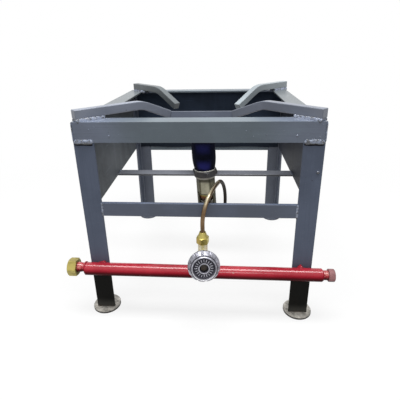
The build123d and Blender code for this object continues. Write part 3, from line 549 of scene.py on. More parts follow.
def turned_brass(name, colour, patina, rough, metal=0.95):
    """Turned brass: fine tool marks, finger-browned patches and green-brown hollows."""
    shade = Shade(name)
    tool = shade.grain(1400.0, 2.0, 0.5)
    clouds = shade.grain(70.0, 4.0, 0.6, warp=0.5)
    soft = shade.soft_normal(0.0006)
    dull = blended(scaled(colour, 0.42), BRASS_PATINA, 0.5)
    shade.base = shade.mix(shade.ramp(clouds, 0.38, 0.68) * patina, colour, dull)
    shade.over(scaled(colour, 0.6), shade.ramp(tool, 0.55, 0.8) * 0.25)
    worn = shade.ramp(shade.edge_share(soft), 0.05, 0.3)
    shade.over(blended(colour, BRASS_EDGE, 0.5), worn * 0.5)
    roughness = rough + 0.22 * clouds + 0.06 * tool
    return shade.surface(roughness, metal, tool * 0.35 + clouds * 0.8, 0.00006, soft)


def bare_steel(name, colour, rust):
    """Bare mild steel: grinding marks and brown stains."""
    shade = Shade(name)
    grind = shade.grain(900.0, 3.0, 0.6, ("Y", 0.12), warp=0.4)
    clouds = shade.grain(55.0, 5.0, 0.65, warp=0.7)
    pits = shade.grain(420.0, 3.0, 0.6)
    stain = shade.ramp(clouds + (pits - 0.5) * 0.4, 0.5, 0.72) * rust
    shade.base = shade.mottle(grind, 0.4, 0.7, colour, 0.72, 1.15)
    shade.over(RUST, stain)
    rough = 0.34 + 0.3 * stain + 0.14 * grind
    height = grind * 0.4 + pits * 0.5
    return shade.surface(rough, 0.9 - 0.75 * stain, height, 0.0001, shade.soft_normal(0.0006))


def foot_metal(name, colour):
    """Pale, dusty steel plate with brown patches, and painted shade on its rim."""
    shade = Shade(name)
    clouds = shade.grain(70.0, 5.0, 0.65, warp=0.8)
    pits = shade.grain(420.0, 3.0, 0.6)
    patches = shade.grain(150.0, 4.0, 0.6, warp=1.2)
    shade.base = shade.mottle(clouds, 0.36, 0.62, colour, 0.6, 1.25)
    shade.over(scaled(colour, 0.38), shade.ramp(patches, 0.52, 0.66) * 0.55)
    shade.over(BROWN_PIT, shade.ramp(pits, 0.55, 0.8) * 0.4)
    # Painted shade: faces that do not look up are darkened.
    shade.over(FOOT_SIDE_SHADE, shade.ramp(shade.facing("Z"), 0.95, 0.5))
    return shade.surface(0.42 + 0.2 * clouds, 0.15, pits * 0.6 + clouds * 0.4, 0.0001, shine=0.3)


def heat_stained(name, colour, tint, rough, metal, worn=0.0, underside_shade=0.0):
    """Stained metal: clouds of a tint over a dull skin, with painted highlights on its edges and painted
    shade underneath.
    """
    shade = Shade(name)
    clouds = shade.grain(32.0, 5.0, 0.62, warp=1.0)
    scale = shade.grain(380.0, 4.0, 0.6)
    soft = shade.soft_normal(0.0006)
    shade.base = shade.mix(shade.ramp(clouds, 0.35, 0.68), scaled(colour, 0.8), tint)
    shade.over(scaled(colour, 0.45), shade.ramp(scale, 0.55, 0.78) * 0.5)
    # Painted highlight on the edges, by the share worn.
    shade.over(EDGE_HIGHLIGHT_STEEL, shade.ramp(shade.edge_share(soft), 0.06, 0.3) * worn)
    # Painted shade: faces that look down are darkened.
    shade.over(UNDERSIDE_SHADE, shade.ramp(shade.facing("Z"), -0.2, -0.7) * underside_shade)
    roughness = rough + 0.2 * clouds + 0.1 * scale
    return shade.surface(roughness, metal, scale * 0.7 + clouds * 0.4, 0.0001, soft)


def tube_paint(name, colour, foot):
    """Paint of the flame tube: sooty, nearly black, with its blue shown as a painted sheen on the faces
    turned to the front and the back, in a patch above its foot and in a band.
    """
    shade = Shade(name)
    clouds = shade.grain(45.0, 4.0, 0.6, warp=0.8)
    scale = shade.grain(380.0, 4.0, 0.6)
    level = shade.level(clouds, 0.008, foot)
    # Painted sheen: the blue shows only on faces turned to the front and the back.
    blue = shade.greatest(shade.band(level, *BLUE_SHEEN_PATCH), shade.band(level, *BLUE_SHEEN_BAND) * 0.3)
    front = shade.ramp(shade.unsigned(shade.facing("Y")), 0.70, 1.0)
    shade.base = shade.mix(shade.ramp(scale, 0.4, 0.7), *TUBE_SOOT)
    shade.over(colour, blue * front)
    return shade.surface(0.45 + 0.25 * clouds, 0.0, scale * 0.7 + clouds * 0.4, 0.0001, shine=0.04)


def mixing_body_metal(name, colour, bottom, top):
    """Cast body: painted reflection makes its front and back flats bright and painted shade its round parts
    dark olive; it has painted shadow under the washer at its top and is darker below.
    """
    shade = Shade(name)
    clouds = shade.grain(90.0, 4.0, 0.6, warp=0.6)
    scale = shade.grain(520.0, 3.0, 0.6)
    level = shade.level(clouds, 0.003)
    # Painted reflection on the flats that face front and back, painted shade elsewhere.
    reflecting_flat = shade.ramp(shade.unsigned(shade.facing("Y")), 0.86, 0.96)
    shade.base = shade.mix(shade.ramp(scale, 0.4, 0.7), *BODY_SHADED_OLIVE)
    shade.over(shade.mottle(clouds, 0.35, 0.7, colour, 0.85, 1.15), reflecting_flat)
    # Darker below the neck's top, and painted shadow under the washer at the top.
    shade.over(BODY_DARK_LOW, shade.ramp(level, bottom + 0.001, bottom - 0.001) * 0.6)
    shade.over(BODY_WASHER_SHADOW, shade.ramp(level, top - 0.009, top - 0.004) * 0.85)
    soft = shade.soft_normal(0.0004)
    return shade.surface(0.34 + 0.2 * clouds, 0.35, scale * 0.6 + clouds * 0.3, 0.00008, soft, shine=0.3)


def bell_metal(name, colour, top):
    """Heat-stained bell: olive-yellow under the body, then brown, and black at its mouth."""
    shade = Shade(name)
    clouds = shade.grain(90.0, 4.0, 0.6, warp=0.8)
    scale = shade.grain(420.0, 3.0, 0.6)
    level = shade.level(clouds, 0.003, top)
    shade.base = shade.mottle(scale, 0.4, 0.7, colour, 0.75, 1.2)
    shade.over(BELL_YELLOW, shade.ramp(level, -0.0085, -0.0060))
    shade.over(BELL_SOOT, shade.ramp(level, -0.0105, -0.0140) * 0.92)
    return shade.surface(0.38 + 0.25 * clouds, 0.3, scale * 0.6 + clouds * 0.4, 0.0001, shine=0.25)


def drawn_copper(name, colour, clean_y, burnt_y, bend_top):
    """Drawn copper: brown at the front, with a pale painted highlight below its bend, blackened by heat
    towards the burner.
    """
    shade = Shade(name)
    clouds = shade.grain(48.0, 4.0, 0.6, warp=0.8)
    lines = shade.grain(900.0, 2.0, 0.5, ("Z", 0.04))
    heat = shade.ramp(shade.axis("Y") + (clouds - 0.5) * 0.02, clean_y, burnt_y)
    # Painted highlight: pale below the bend, on faces that do not turn to +X.
    wear_and_sheen = shade.band(shade.axis("Z") - bend_top, *HIGHLIGHT_STRETCH) * shade.ramp(shade.facing("X"), 0.7, 0.1)
    shade.base = shade.mix(shade.ramp(clouds, 0.35, 0.7), colour, blended(colour, BROWN_COPPER, 0.75))
    shade.over(scaled(colour, 0.45), shade.ramp(lines, 0.5, 0.75) * 0.25)
    shade.over(COPPER_HIGHLIGHT, wear_and_sheen * 0.7)
    shade.over(BURNT_COPPER, heat)
    rough = 0.26 + 0.14 * clouds + 0.3 * heat
    return shade.surface(rough, 0.8 - 0.8 * heat, lines * 0.3 + clouds * 0.6, 0.00006, shine=0.12)


def cast_wheel(name, colour, centre, direction, front):
    """Die-cast aluminium: painted highlights on its rims, and painted shade in the flutes, on the sunk face
    and in the hub.
    """
    shade = Shade(name)
    skin = shade.grain(650.0, 4.0, 0.6)
    clouds = shade.grain(120.0, 3.0, 0.6)
    soft = shade.soft_normal(0.0004)
    offset = shade.vector("SUBTRACT", shade.place, tuple(centre))
    along = shade.vector("DOT_PRODUCT", offset, tuple(direction))
    reach = shade.vector("LENGTH", offset)
    radius = shade.maths("SQRT", shade.greatest(reach * reach - along * along, 0.0))
    depth = front - along
    painted_shade = wheel_recess_shade(shade, radius, depth)
    shade.base = shade.mottle(clouds, 0.3, 0.7, colour, 0.5, 1.25)
    shade.over(scaled(colour, 0.35), shade.ramp(skin, 0.5, 0.8) * 0.5)
    shade.over(WHEEL_EDGE, shade.ramp(shade.edge_share(soft), 0.04, 0.3) * 0.7)
    # Painted highlights, then painted shade.
    shade.over(WHEEL_HIGHLIGHT, wheel_highlights(shade, radius, depth, shade.axis("Z", offset)))
    shade.over(WHEEL_RECESS_SHADE, painted_shade * 0.92)
    rough = 0.32 + 0.2 * clouds + 0.25 * painted_shade
    return shade.surface(rough, 0.85 - 0.8 * painted_shade, skin * 0.8 + clouds * 0.3, 0.00012, soft, shine=0.2)


def wheel_recess_shade(shade, radius, depth):
    """Painted shade in the wheel's recesses: its sunk face, the hub's hole, the seam round its rim and its
    flutes.
    """
    sunk = shade.ramp(depth, *SUNK_FACE_DEPTHS) * shade.ramp(radius, *SUNK_FACE_RADII)
    hub = shade.ramp(radius, *HUB_HOLE_RADII)
    seam = shade.band(radius, *RIM_SEAM_RADII) * shade.ramp(depth, *RIM_SEAM_DEPTHS)
    cone = WHEEL_CONE_TOP + (depth - WHEEL_CONE_DEPTH) * WHEEL_CONE_SPREAD
    flutes = shade.ramp(cone - radius, 0.0003, 0.0013) * shade.ramp(depth, 0.0031, 0.0036)
    darkest_in_front = shade.ramp(depth, 0.0085, 0.0050, 0.3, 1.5)
    return shade.greatest(sunk, hub, seam, flutes * darkest_in_front * 0.6)


def wheel_highlights(shade, radius, depth, height):
    """Painted highlights on the wheel: its front ring towards its lower side, and the lower half of the hub's
    rim.
    """
    ring = shade.ramp(depth, *FRONT_RING_DEPTHS) * shade.ramp(radius, *FRONT_RING_RADII)
    rim = shade.band(radius, *HUB_RIM_RADII) * shade.ramp(depth, *HUB_RIM_DEPTHS)
    ring = ring * shade.ramp(height, 0.012, -0.012, 0.0, 0.8)
    return shade.greatest(ring, rim * shade.ramp(height, 0.002, -0.005))


def soft_packing(name):
    """Pressed white packing with a fine grain."""
    shade = Shade(name)
    grain = shade.grain(500.0, 3.0, 0.6)
    shade.base = shade.mix(grain, *PACKING)
    return shade.surface(0.6 + 0.2 * grain, 0.0, grain, 0.0001)


def dress(node, material):
    """Give a node of the frame its finish."""
    slots = frame["nodes"][node].material_slots
    if not slots:
        frame["nodes"][node].data.materials.append(material)
    for slot in slots:
        slot.material = material


def dress_all(nodes, material):
    for node in nodes:
        dress(node, material)


def circle(count):
    """Cosine and sine of angles spread evenly round a circle."""
    angles = [2 * math.pi * index / count for index in range(count)]
    return [(math.cos(angle), math.sin(angle)) for angle in angles]


class WeldShape:
    """Vertices and faces of weld beads, gathered into one mesh."""

    # Points across a crest, distance from one cross-section to the next, and length of a tapered end
    CREST = 9
    STEP = 0.00045
    TAPER = 0.0025

    def __init__(self, settings, seed):
        self.settings = settings
        self.luck = random.Random(seed)
        self.vertices = []
        self.faces = []

    def straight(self, start, end, outward, size=1.0):
        """Bead on a straight seam. outward is the way it stands proud."""
        start, end = Vector(start), Vector(end)
        count = max(4, int((end - start).length / self.STEP))
        points = [start.lerp(end, index / count) for index in range(count + 1)]
        self.bead(points, [Vector(outward).normalized()] * len(points), size, False)

    def ring(self, centre, axis, radius, rise, size=1.0):
        """Bead round a pipe. rise tilts it along the axis, away from the pipe's side."""
        axis = Vector(axis).normalized()
        side = axis.orthogonal().normalized()
        other = axis.cross(side)
        count = max(24, int(2 * math.pi * radius / self.STEP))
        spokes = [side * across + other * up for across, up in circle(count)]
        points = [Vector(centre) + spoke * radius for spoke in spokes]
        self.bead(points, [(spoke + axis * rise).normalized() for spoke in spokes], size, True)

    def bead(self, points, outs, size, closed):
        """A bead along a line of points, each with its own outward way. Open ends taper away."""
        base, count = len(self.vertices), len(points)
        phase = self.luck.uniform(0, 100)
        travelled = 0.0
        total = sum((b - a).length for a, b in zip(points, points[1:]))
        for index, (point, out) in enumerate(zip(points, outs)):
            before = points[index - 1] if (index or closed) else point
            after = points[(index + 1) % count] if (index < count - 1 or closed) else point
            side = (after - before).normalized().cross(out).normalized()
            if index:
                travelled += (point - points[index - 1]).length
            nearest = min(travelled, total - travelled) + 0.0002
            taper = 1.0 if closed else math.sqrt(min(1.0, nearest / self.TAPER))
            self.row(point, side, out, travelled, phase, size, taper)
        self.skin(base, count, closed)

    def row(self, point, side, out, travelled, phase, size, taper):
        """One cross-section, with a root below its crest. Ripples lie across a bead like fallen coins."""
        weld = self.settings
        drift = noise.noise(Vector((travelled * 90, phase, 0)))
        swell = noise.noise(Vector((travelled * 160, phase, 7)))
        width = weld.bead_width * size * (1 + 0.18 * swell) * taper / 2
        height = weld.bead_height * size * (1 + 0.25 * drift) * taper
        middle = point + side * (drift * 0.12 * weld.bead_width * size)
        for place in range(self.CREST):
            across = -1 + 2 * place / (self.CREST - 1)
            coin = (travelled + 1.1 * weld.ripple * across * across) / weld.ripple + phase
            step = coin - math.floor(coin)
            crest = math.sqrt(max(0.0, 1 - across * across))
            lift = height * crest * (0.82 + 0.26 * step) - height * 0.25
            self.vertices.append(middle + side * (across * width) + out * lift)
        self.vertices.append(middle - out * height * 0.8)

    def skin(self, base, count, closed):
        """Faces between neighbouring cross-sections, and a cap on each open end."""
        ring = self.CREST + 1
        for index in range(count if closed else count - 1):
            here = base + index * ring
            there = base + ((index + 1) % count) * ring
            for place in range(ring):
                following = (place + 1) % ring
                self.faces.append((here + place, here + following, there + following, there + place))
        if not closed:
            last = base + (count - 1) * ring
            self.faces.append(tuple(base + place for place in reversed(range(ring))))
            self.faces.append(tuple(last + place for place in range(ring)))

    def drop(self, centre, out, radius):
        """Flat round drop of metal stuck to a face."""
        side = out.orthogonal().normalized()
        other = out.cross(side)
        base, count = len(self.vertices), 10
        for level, share in ((-0.3, 1.0), (0.35, 0.75)):
            for across, up in circle(count):
                spoke = side * across + other * up
                self.vertices.append(centre + spoke * (radius * share) + out * (radius * level))
        self.vertices.append(centre + out * (radius * 0.6))
        top, tip = base + count, base + 2 * count
        for index in range(count):
            following = (index + 1) % count
            self.faces.append((base + index, base + following, top + following, top + index))
            self.faces.append((top + index, top + following, tip))
        self.faces.append(tuple(base + index for index in reversed(range(count))))

    def piece(self, name, material, slot):
        """The beads as one smooth-shaded mesh that rides on the stand. The slot is not used."""
        mesh = bpy.data.meshes.new(name)
        mesh.from_pydata([tuple(vertex) for vertex in self.vertices], [], self.faces)
        mesh.validate()
        mesh.update()
        mesh.polygons.foreach_set("use_smooth", [True] * len(mesh.polygons))
        mesh.materials.append(material)
        piece = bpy.data.objects.new(name, mesh)
        bpy.context.scene.collection.objects.link(piece)
        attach(piece, STAND_BODY)


def outer_seams(leg, height, inset, rise):
    """Start, end and outward way of a level bead on each of a leg's two outer faces."""
    low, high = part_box(leg)
    away = middle_of(leg) - FOOTPRINT_MIDDLE
    x, x_way = (high.x, 1) if away.x > 0 else (low.x, -1)
    y, y_way = (high.y, 1) if away.y > 0 else (low.y, -1)
    across = ((low.x + inset, y, height), (high.x - inset, y, height), (0, y_way, rise))
    back = ((x, low.y + inset, height), (x, high.y - inset, height), (x_way, 0, rise))
    return across, back


def rail_corner(x_way, y_way):
    """Topmost outside corner of the frame on one side in X and Y."""
    across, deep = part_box("front_top_rail"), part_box("left_top_rail")
    return Vector((across[x_way > 0].x, deep[y_way > 0].y, across[1].z))


def arm_start(arm, corner, inward):
    """How far in from the frame's corner an arm begins, along its own diagonal."""
    mesh = frame["nodes"][arm].data
    return min((vertex.co - corner).dot(inward) for vertex in mesh.vertices)


def paint_for(name):
    """A paint that an earlier step has made."""
    found = bpy.data.materials.get(name)
    if found is None:
        raise RuntimeError(f"{name} is missing: paint the stove before this step")
    return found


class STOVE_OT_paint_stand(bpy.types.Operator):
    """Paint the rails, legs, crossbars, burner bars, arms and tie strip"""
    bl_idname = "stove.paint_stand"
    bl_label = "Paint stand"

    def execute(self, context):
        paint = context.scene.stove_paint
        self.rails_and_bars(paint)
        self.legs(paint)
        self.arms(paint)
        return {"FINISHED"}

    def rails_and_bars(self, paint):
        """Rails that run across are greener, rails that run back are warmer, and the front bars darker."""
        colour = paint.frame_colour
        green, warm = tinted(colour, *GREENISH), tinted(colour, *WARM)
        blue, dark_grey = tinted(colour, *DARK_BLUE), tinted(colour, *DARK_GREY)
        # Each top factor paints the bars' upward faces lighter: painted light from above.
        across = brushed_enamel("enamel across", green, paint, far_colour=scaled(colour, 1.16), top=1.25)
        dress_all(RAILS_ACROSS, across)
        dress_all([arm.replace("pan_arm", "arm_seat") for arm in ARMS], across)
        dress_all(RAILS_DEEP, brushed_enamel("enamel deep", warm, paint, "Y", top=1.2))
        dress_all(BURNER_BARS, brushed_enamel("enamel burner bars", dark_grey, paint, top=2.9))
        dress("front_crossbar", brushed_enamel("enamel crossbar", blue, paint, top=1.9))
        dress("rear_crossbar", brushed_enamel("enamel rear crossbar", scaled(green, 1.1), paint))
        dress("pan_arm_tie_strip", brushed_enamel("enamel tie strip", scaled(colour, 1.25), paint))

    def legs(self, paint):
        """The front legs are black from the gas pipe's underside down."""
        pipe_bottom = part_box("gas_pipe")[0].z
        ends = (pipe_bottom - 0.008, pipe_bottom + 0.001, paint.leg_end_colour)
        # The rear legs get a darker copy of the frame paint than the front legs: painted shade.
        front, rear = scaled(paint.frame_colour, 1.13), scaled(paint.frame_colour, 0.82)
        enamel = brushed_enamel("enamel front legs", front, paint, "Z", dark_ends=ends, shine=0.04)
        dress_all(FRONT_LEGS, enamel)
        dress_all(REAR_LEGS, brushed_enamel("enamel rear legs", rear, paint, "Z"))

    def arms(self, paint):
        """The front arms are greyer than the rear ones, and each is brushed along its own diagonal."""
        for arm, (x_way, y_way, painted_lightness) in ARMS.items():
            # Each arm's lightness is painted light and shade, and its top faces are painted lighter too.
            tone = scaled(tinted(paint.frame_colour, *(GREY if y_way > 0 else WARM)), painted_lightness)
            heading = math.radians(-45 * x_way * y_way)
            enamel = brushed_enamel("enamel " + arm.replace("_", " "), tone, paint, "X", heading, top=1.2)
            dress(arm, enamel)


class STOVE_OT_finish_skirts(bpy.types.Operator):
    """Give the sheet skirts their dull paint with painted shade near their tops, the rear one blackest"""
    bl_idname = "stove.finish_skirts"
    bl_label = "Finish skirts"

    def execute(self, context):
        colour = context.scene.stove_paint.skirt_colour
        # Painted light and shade: the left skirt gets a lighter copy of the paint, the right and rear ones
        # darker copies.
        left, right, rear = scaled(colour, 1.65), tinted(colour, *SHADED_SKIRT), tinted(colour, *NAVY_SHADED_SKIRT)
        # The rear skirt gets painted shade above its crossbar.
        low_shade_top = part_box("rear_crossbar")[1].z + 0.012
        dress("left_skirt", dull_sheet_paint("left skirt paint", left, 0.3, 0.12))
        dress("right_skirt", dull_sheet_paint("right skirt paint", right, 0.3, 0.1))
        dress("rear_skirt", dull_sheet_paint("rear skirt paint", rear, 0.35, 0.1, low_shade_top))
        return {"FINISHED"}


class STOVE_OT_finish_feet(bpy.types.Operator):
    """Give the front feet bare, stained steel and the rear ones the frame's paint"""
    bl_idname = "stove.finish_feet"
    bl_label = "Finish feet"

    def execute(self, context):
        metals, paint = context.scene.stove_metals, context.scene.stove_paint
        dress_all(FRONT_FEET, foot_metal("foot steel", scaled(metals.steel_colour, 1.5)))
        # The rear feet get a darker copy of the frame paint: painted shade.
        dress_all(REAR_FEET, brushed_enamel("enamel rear feet", scaled(paint.frame_colour, 0.8), paint))
        return {"FINISHED"}


class STOVE_OT_finish_burner(bpy.types.Operator):
    """Give the burner's tube, collar, body, neck, head and jet their metals"""
    bl_idname = "stove.finish_burner"
    bl_label = "Finish burner"

    def execute(self, context):
        metals = context.scene.stove_metals
        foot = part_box("burner_collar")[1].z
        neck_top, body_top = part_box("burner_air_neck")[1].z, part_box("burner_collar_washer")[0].z
        dress("burner_flame_tube", tube_paint("blue tube", metals.flame_tube_colour, foot))
        dress("burner_body", mixing_body_metal("body metal", metals.body_colour, neck_top, body_top))
        dress("burner_air_neck", bell_metal("bell metal", metals.neck_colour, neck_top))
        for node, finish in HEATED_METALS.items():
            dress(node, heat_stained(*finish))
        brass = turned_brass("burner brass", scaled(metals.brass_colour, 0.7), 0.8, 0.3)
        dress_all(("gas_jet", "burner_inlet_elbow", "burner_flare_nut"), brass)
        self.foot_ring(context.scene.stove_welds)
        return {"FINISHED"}

    def foot_ring(self, weld):
        """Thin worn bead round the tube's foot, where it is welded to the collar."""
        foot_radius = 0.0219
        low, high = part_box("burner_collar")
        collar = middle_of("burner_collar")
        axis = (middle_of("burner_flame_tube") - collar).normalized()
        shape = WeldShape(weld, 29)
        shape.ring(collar + axis * ((high.z - low.z) / 2), axis, foot_radius, rise=0.8, size=0.42)
        worn = heat_stained("worn ring", (0.62, 0.62, 0.58), (0.42, 0.40, 0.35), 0.3, 0.2, worn=0.4)
        shape.piece("tube_foot_ring", worn, "collar_steel")


class STOVE_OT_paint_gas_pipe(bpy.types.Operator):
    """Paint the gas pipe, its nipples, weld lumps and socket red, and finish its end fittings"""
    bl_idname = "stove.paint_gas_pipe"
    bl_label = "Paint gas pipe"

    def execute(self, context):
        red = context.scene.stove_paint.pipe_colour
        brass = scaled(context.scene.stove_metals.brass_colour, 0.9)
        enamel = red_enamel("red enamel", red)
        dress_all(("gas_pipe", "left_pipe_weld", "right_pipe_weld", "valve_socket"), enamel)
        dress_all(("inlet_nipple", "outlet_nipple"), red_enamel("worn red enamel", red, wear_and_sheen=0.6))
        dress("union_nut", turned_brass("union nut brass", brass, 0.6, 0.3))
        pink, pale_pink = (0.22, 0.095, 0.10), (0.36, 0.16, 0.165)
        dress("end_cap", heat_stained("cap steel", pink, pale_pink, 0.4, 0.3, underside_shade=0.95))
        return {"FINISHED"}


class STOVE_OT_finish_valve(bpy.types.Operator):
    """Finish the brass valve, its flare nut, spindle, packing and nuts"""
    bl_idname = "stove.finish_valve"
    bl_label = "Finish valve"

    def execute(self, context):
        metals = context.scene.stove_metals
        pale = blended(metals.brass_colour, PALE_BRASS, 0.75)
        brass = turned_brass("valve brass", metals.brass_colour, 0.5, 0.24)
        # The spindle and the handwheel's nut get steel darkened to a tenth: painted shade in the hub's hole.
        steel = bare_steel("spindle steel", scaled(metals.steel_colour, 0.10), 0.3)
        dress_all(("valve_gland_nut", "valve_flare_nut"), brass)
        dress_all(("valve_spindle", "handwheel_nut"), steel)
        dress("valve_body", turned_brass("valve body brass", pale, 0.15, 0.22, 0.3))
        dress("valve_packing", soft_packing("packing"))
        return {"FINISHED"}


class STOVE_OT_finish_handwheel(bpy.types.Operator):
    """Give the cast handwheel its painted highlights on the rims and painted shade in its recesses"""
    bl_idname = "stove.finish_handwheel"
    bl_label = "Finish handwheel"

    def execute(self, context):
        colour = context.scene.stove_metals.aluminium_colour
        centre, direction = joint_line("handwheel_turn")
        mesh = frame["nodes"]["handwheel"].data
        front = max((vertex.co - centre).dot(direction) for vertex in mesh.vertices)
        dress("handwheel", cast_wheel("cast wheel", colour, centre, direction, front))
        return {"FINISHED"}


class STOVE_OT_finish_tube(bpy.types.Operator):
    """Give the copper tube its bright front and burnt rear"""
    bl_idname = "stove.finish_tube"
    bl_label = "Finish copper tube"

    def execute(self, context):
        clean_share, burnt_share = 0.32, 0.41
        low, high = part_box("copper_tube")
        clean, burnt = (low.y + share * (high.y - low.y) for share in (clean_share, burnt_share))
        colour = context.scene.stove_metals.copper_colour
        dress("copper_tube", drawn_copper("copper tube", colour, clean, burnt, high.z))
        return {"FINISHED"}


class STOVE_OT_add_welds(bpy.types.Operator):
    """Lay the weld beads where the stand's bars meet"""
    bl_idname = "stove.add_welds"
    bl_label = "Add welds"

    def execute(self, context):
        weld = context.scene.stove_welds
        enamel = weld_enamel("weld enamel", context.scene.stove_paint.frame_colour)
        self.leg_welds(weld, enamel)
        self.seam_shadow_lines(weld)
        self.rail_welds(weld, enamel)
        self.arm_welds(weld, enamel)
        self.bar_welds(weld, enamel)
        self.spatter(weld, enamel)
        self.foot_welds(weld, context.scene.stove_metals.steel_colour)
        self.pipe_welds(weld)
        return {"FINISHED"}

    def leg_seam(self):
        """Height of the beads under the rails."""
        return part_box("front_top_rail")[0].z + 0.0012

    def leg_welds(self, weld, enamel):
        """Bead under each rail across each leg's head. The rear left leg stands in from its side rail."""
        shape = WeldShape(weld, 3)
        for leg in LEGS:
            across, back = outer_seams(leg, self.leg_seam(), inset=0.001, rise=0)
            shape.straight(*across, size=1.4)
            if leg != "rear_left_leg":
                shape.straight(*back, size=1.25)
        shape.piece("leg_head_welds", enamel, "frame_paint")

    def seam_shadow_lines(self, weld):
        """Thin dark lines along the lower side of the beads at the front legs' heads: painted shadow under
        the seams.
        """
        shape = WeldShape(weld, 31)
        level = self.leg_seam() - 0.0040
        for leg in FRONT_LEGS:
            low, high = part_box(leg)
            face = low.y - 0.0001
            start, end = (low.x + 0.001, face, level), (high.x - 0.002, face, level - 0.0006)
            shape.straight(start, end, (0, -1, 0), size=0.5)
        # A dark bead stands in for the shadow under each seam.
        seam_shadow = dull_sheet_paint("seam_shadow", (0.006, 0.006, 0.009), 0.0, 0.05)
        shape.piece("leg_head_seam_shadow", seam_shadow, "frame_paint")

    def rail_welds(self, weld, enamel):
        """Mitre seams of the top frame: up the outside corners and across the top flanges."""
        shape = WeldShape(weld, 5)
        low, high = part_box("front_top_rail")
        flange, edge = high.y - low.y, 0.001
        for x_way, y_way in CORNERS:
            head = rail_corner(x_way, y_way)
            foot = Vector((head.x, head.y, low.z + 2 * edge))
            inward = Vector((-x_way, -y_way, 0))
            shape.straight(foot, head - Vector((0, 0, edge)), (x_way, y_way, 0), size=0.5)
            shape.straight(head + inward * edge, head + inward * (flange - edge), (0, 0, 1), size=0.45)
        shape.piece("rail_mitre_welds", enamel, "frame_paint")

    def arm_welds(self, weld, enamel):
        """Beads in the grooves between each arm and the frame's corner, on both sides."""
        shape = WeldShape(weld, 7)
        length, groove_rise, groove_side = 0.048, 0.0019, 0.0064
        for arm, (x_way, y_way, _) in ARMS.items():
            corner = rail_corner(-x_way, -y_way) + Vector((0, 0, groove_rise))
            inward = Vector((x_way, y_way, 0)).normalized()
            across = Vector((y_way, -x_way, 0)).normalized()
            start = arm_start(arm, corner, inward)
            for way in (-1, 1):
                foot = corner + inward * start + across * (way * groove_side)
                shape.straight(foot, foot + inward * length, across * way + Vector((0, 0, 0.6)), size=1.5)
        shape.piece("arm_welds", enamel, "frame_paint")

    def bar_welds(self, weld, enamel):
        """Beads at the ends of the crossbars and of the burner bars."""
        shape = WeldShape(weld, 11)
        for bar, way in (("front_crossbar", -1), ("rear_crossbar", 1)):
            low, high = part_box(bar)
            face = low.y if way < 0 else high.y
            for x in (low.x, high.x):
                shape.straight((x, face, low.z - 0.001), (x, face, high.z + 0.001), (0, way, 0), size=0.6)
                shape.straight((x, low.y + 0.0005, high.z), (x, high.y - 0.0005, high.z), (0, 0, 1), size=0.5)
        for bar, way in zip(BURNER_BARS, (-1, 1)):
            low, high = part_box(bar)
            x = low.x if way < 0 else high.x
            shape.straight((x, low.y + 0.001, high.z), (x, high.y - 0.001, high.z), (-way, 0, 1), size=0.6)
        shape.piece("bar_end_welds", enamel, "frame_paint")

    def spatter(self, weld, enamel):
        """Small drops of weld metal thrown on the front faces near the seams."""
        crowding, spread, edge = 1.6, 0.6, 0.003
        luck = random.Random(19)
        low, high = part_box("front_top_rail")
        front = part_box("front_left_leg")[0].y
        shape = WeldShape(weld, 23)
        middle, reach = (low.x + high.x) / 2, (high.x - low.x) / 2
        for _ in range(weld.spatter_count):
            away = reach * (1 - luck.random() ** crowding * spread) - edge
            x = middle + away * luck.choice((-1, 1))
            z = luck.uniform(low.z + 0.002, high.z - 0.002)
            shape.drop(Vector((x, front, z)), Vector((0, -1, 0)), luck.uniform(0.0004, 0.0011))
        for x, z, radius in FRONT_DROPS:
            shape.drop(Vector((middle + x, front, z)), Vector((0, -1, 0)), radius)
        shape.piece("weld_spatter", enamel, "frame_paint")

    def foot_welds(self, weld, steel):
        """Fillets round the outside of each leg where it stands on its foot."""
        shape = WeldShape(weld, 13)
        for leg in LEGS:
            for seam in outer_seams(leg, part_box(leg)[0].z, inset=0.0, rise=1):
                shape.straight(*seam, size=0.6)
        shape.piece("foot_welds", bare_steel("weld steel", scaled(steel, 0.12), 0.5), "foot_steel")

    def pipe_welds(self, weld):
        """Rings where the nipples join the pipe."""
        shape = WeldShape(weld, 17)
        low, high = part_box("gas_pipe")
        inlet, outlet = middle_of("union_nut"), middle_of("end_cap")
        neck = 0.0075
        shape.ring((low.x, inlet.y, inlet.z), (1, 0, 0), neck + 0.0010, rise=-0.8, size=0.7)
        shape.ring((high.x, outlet.y, outlet.z), (1, 0, 0), neck + 0.0012, rise=0.8, size=0.6)
        shape.piece("pipe_end_welds", paint_for("red enamel"), "pipe_paint")


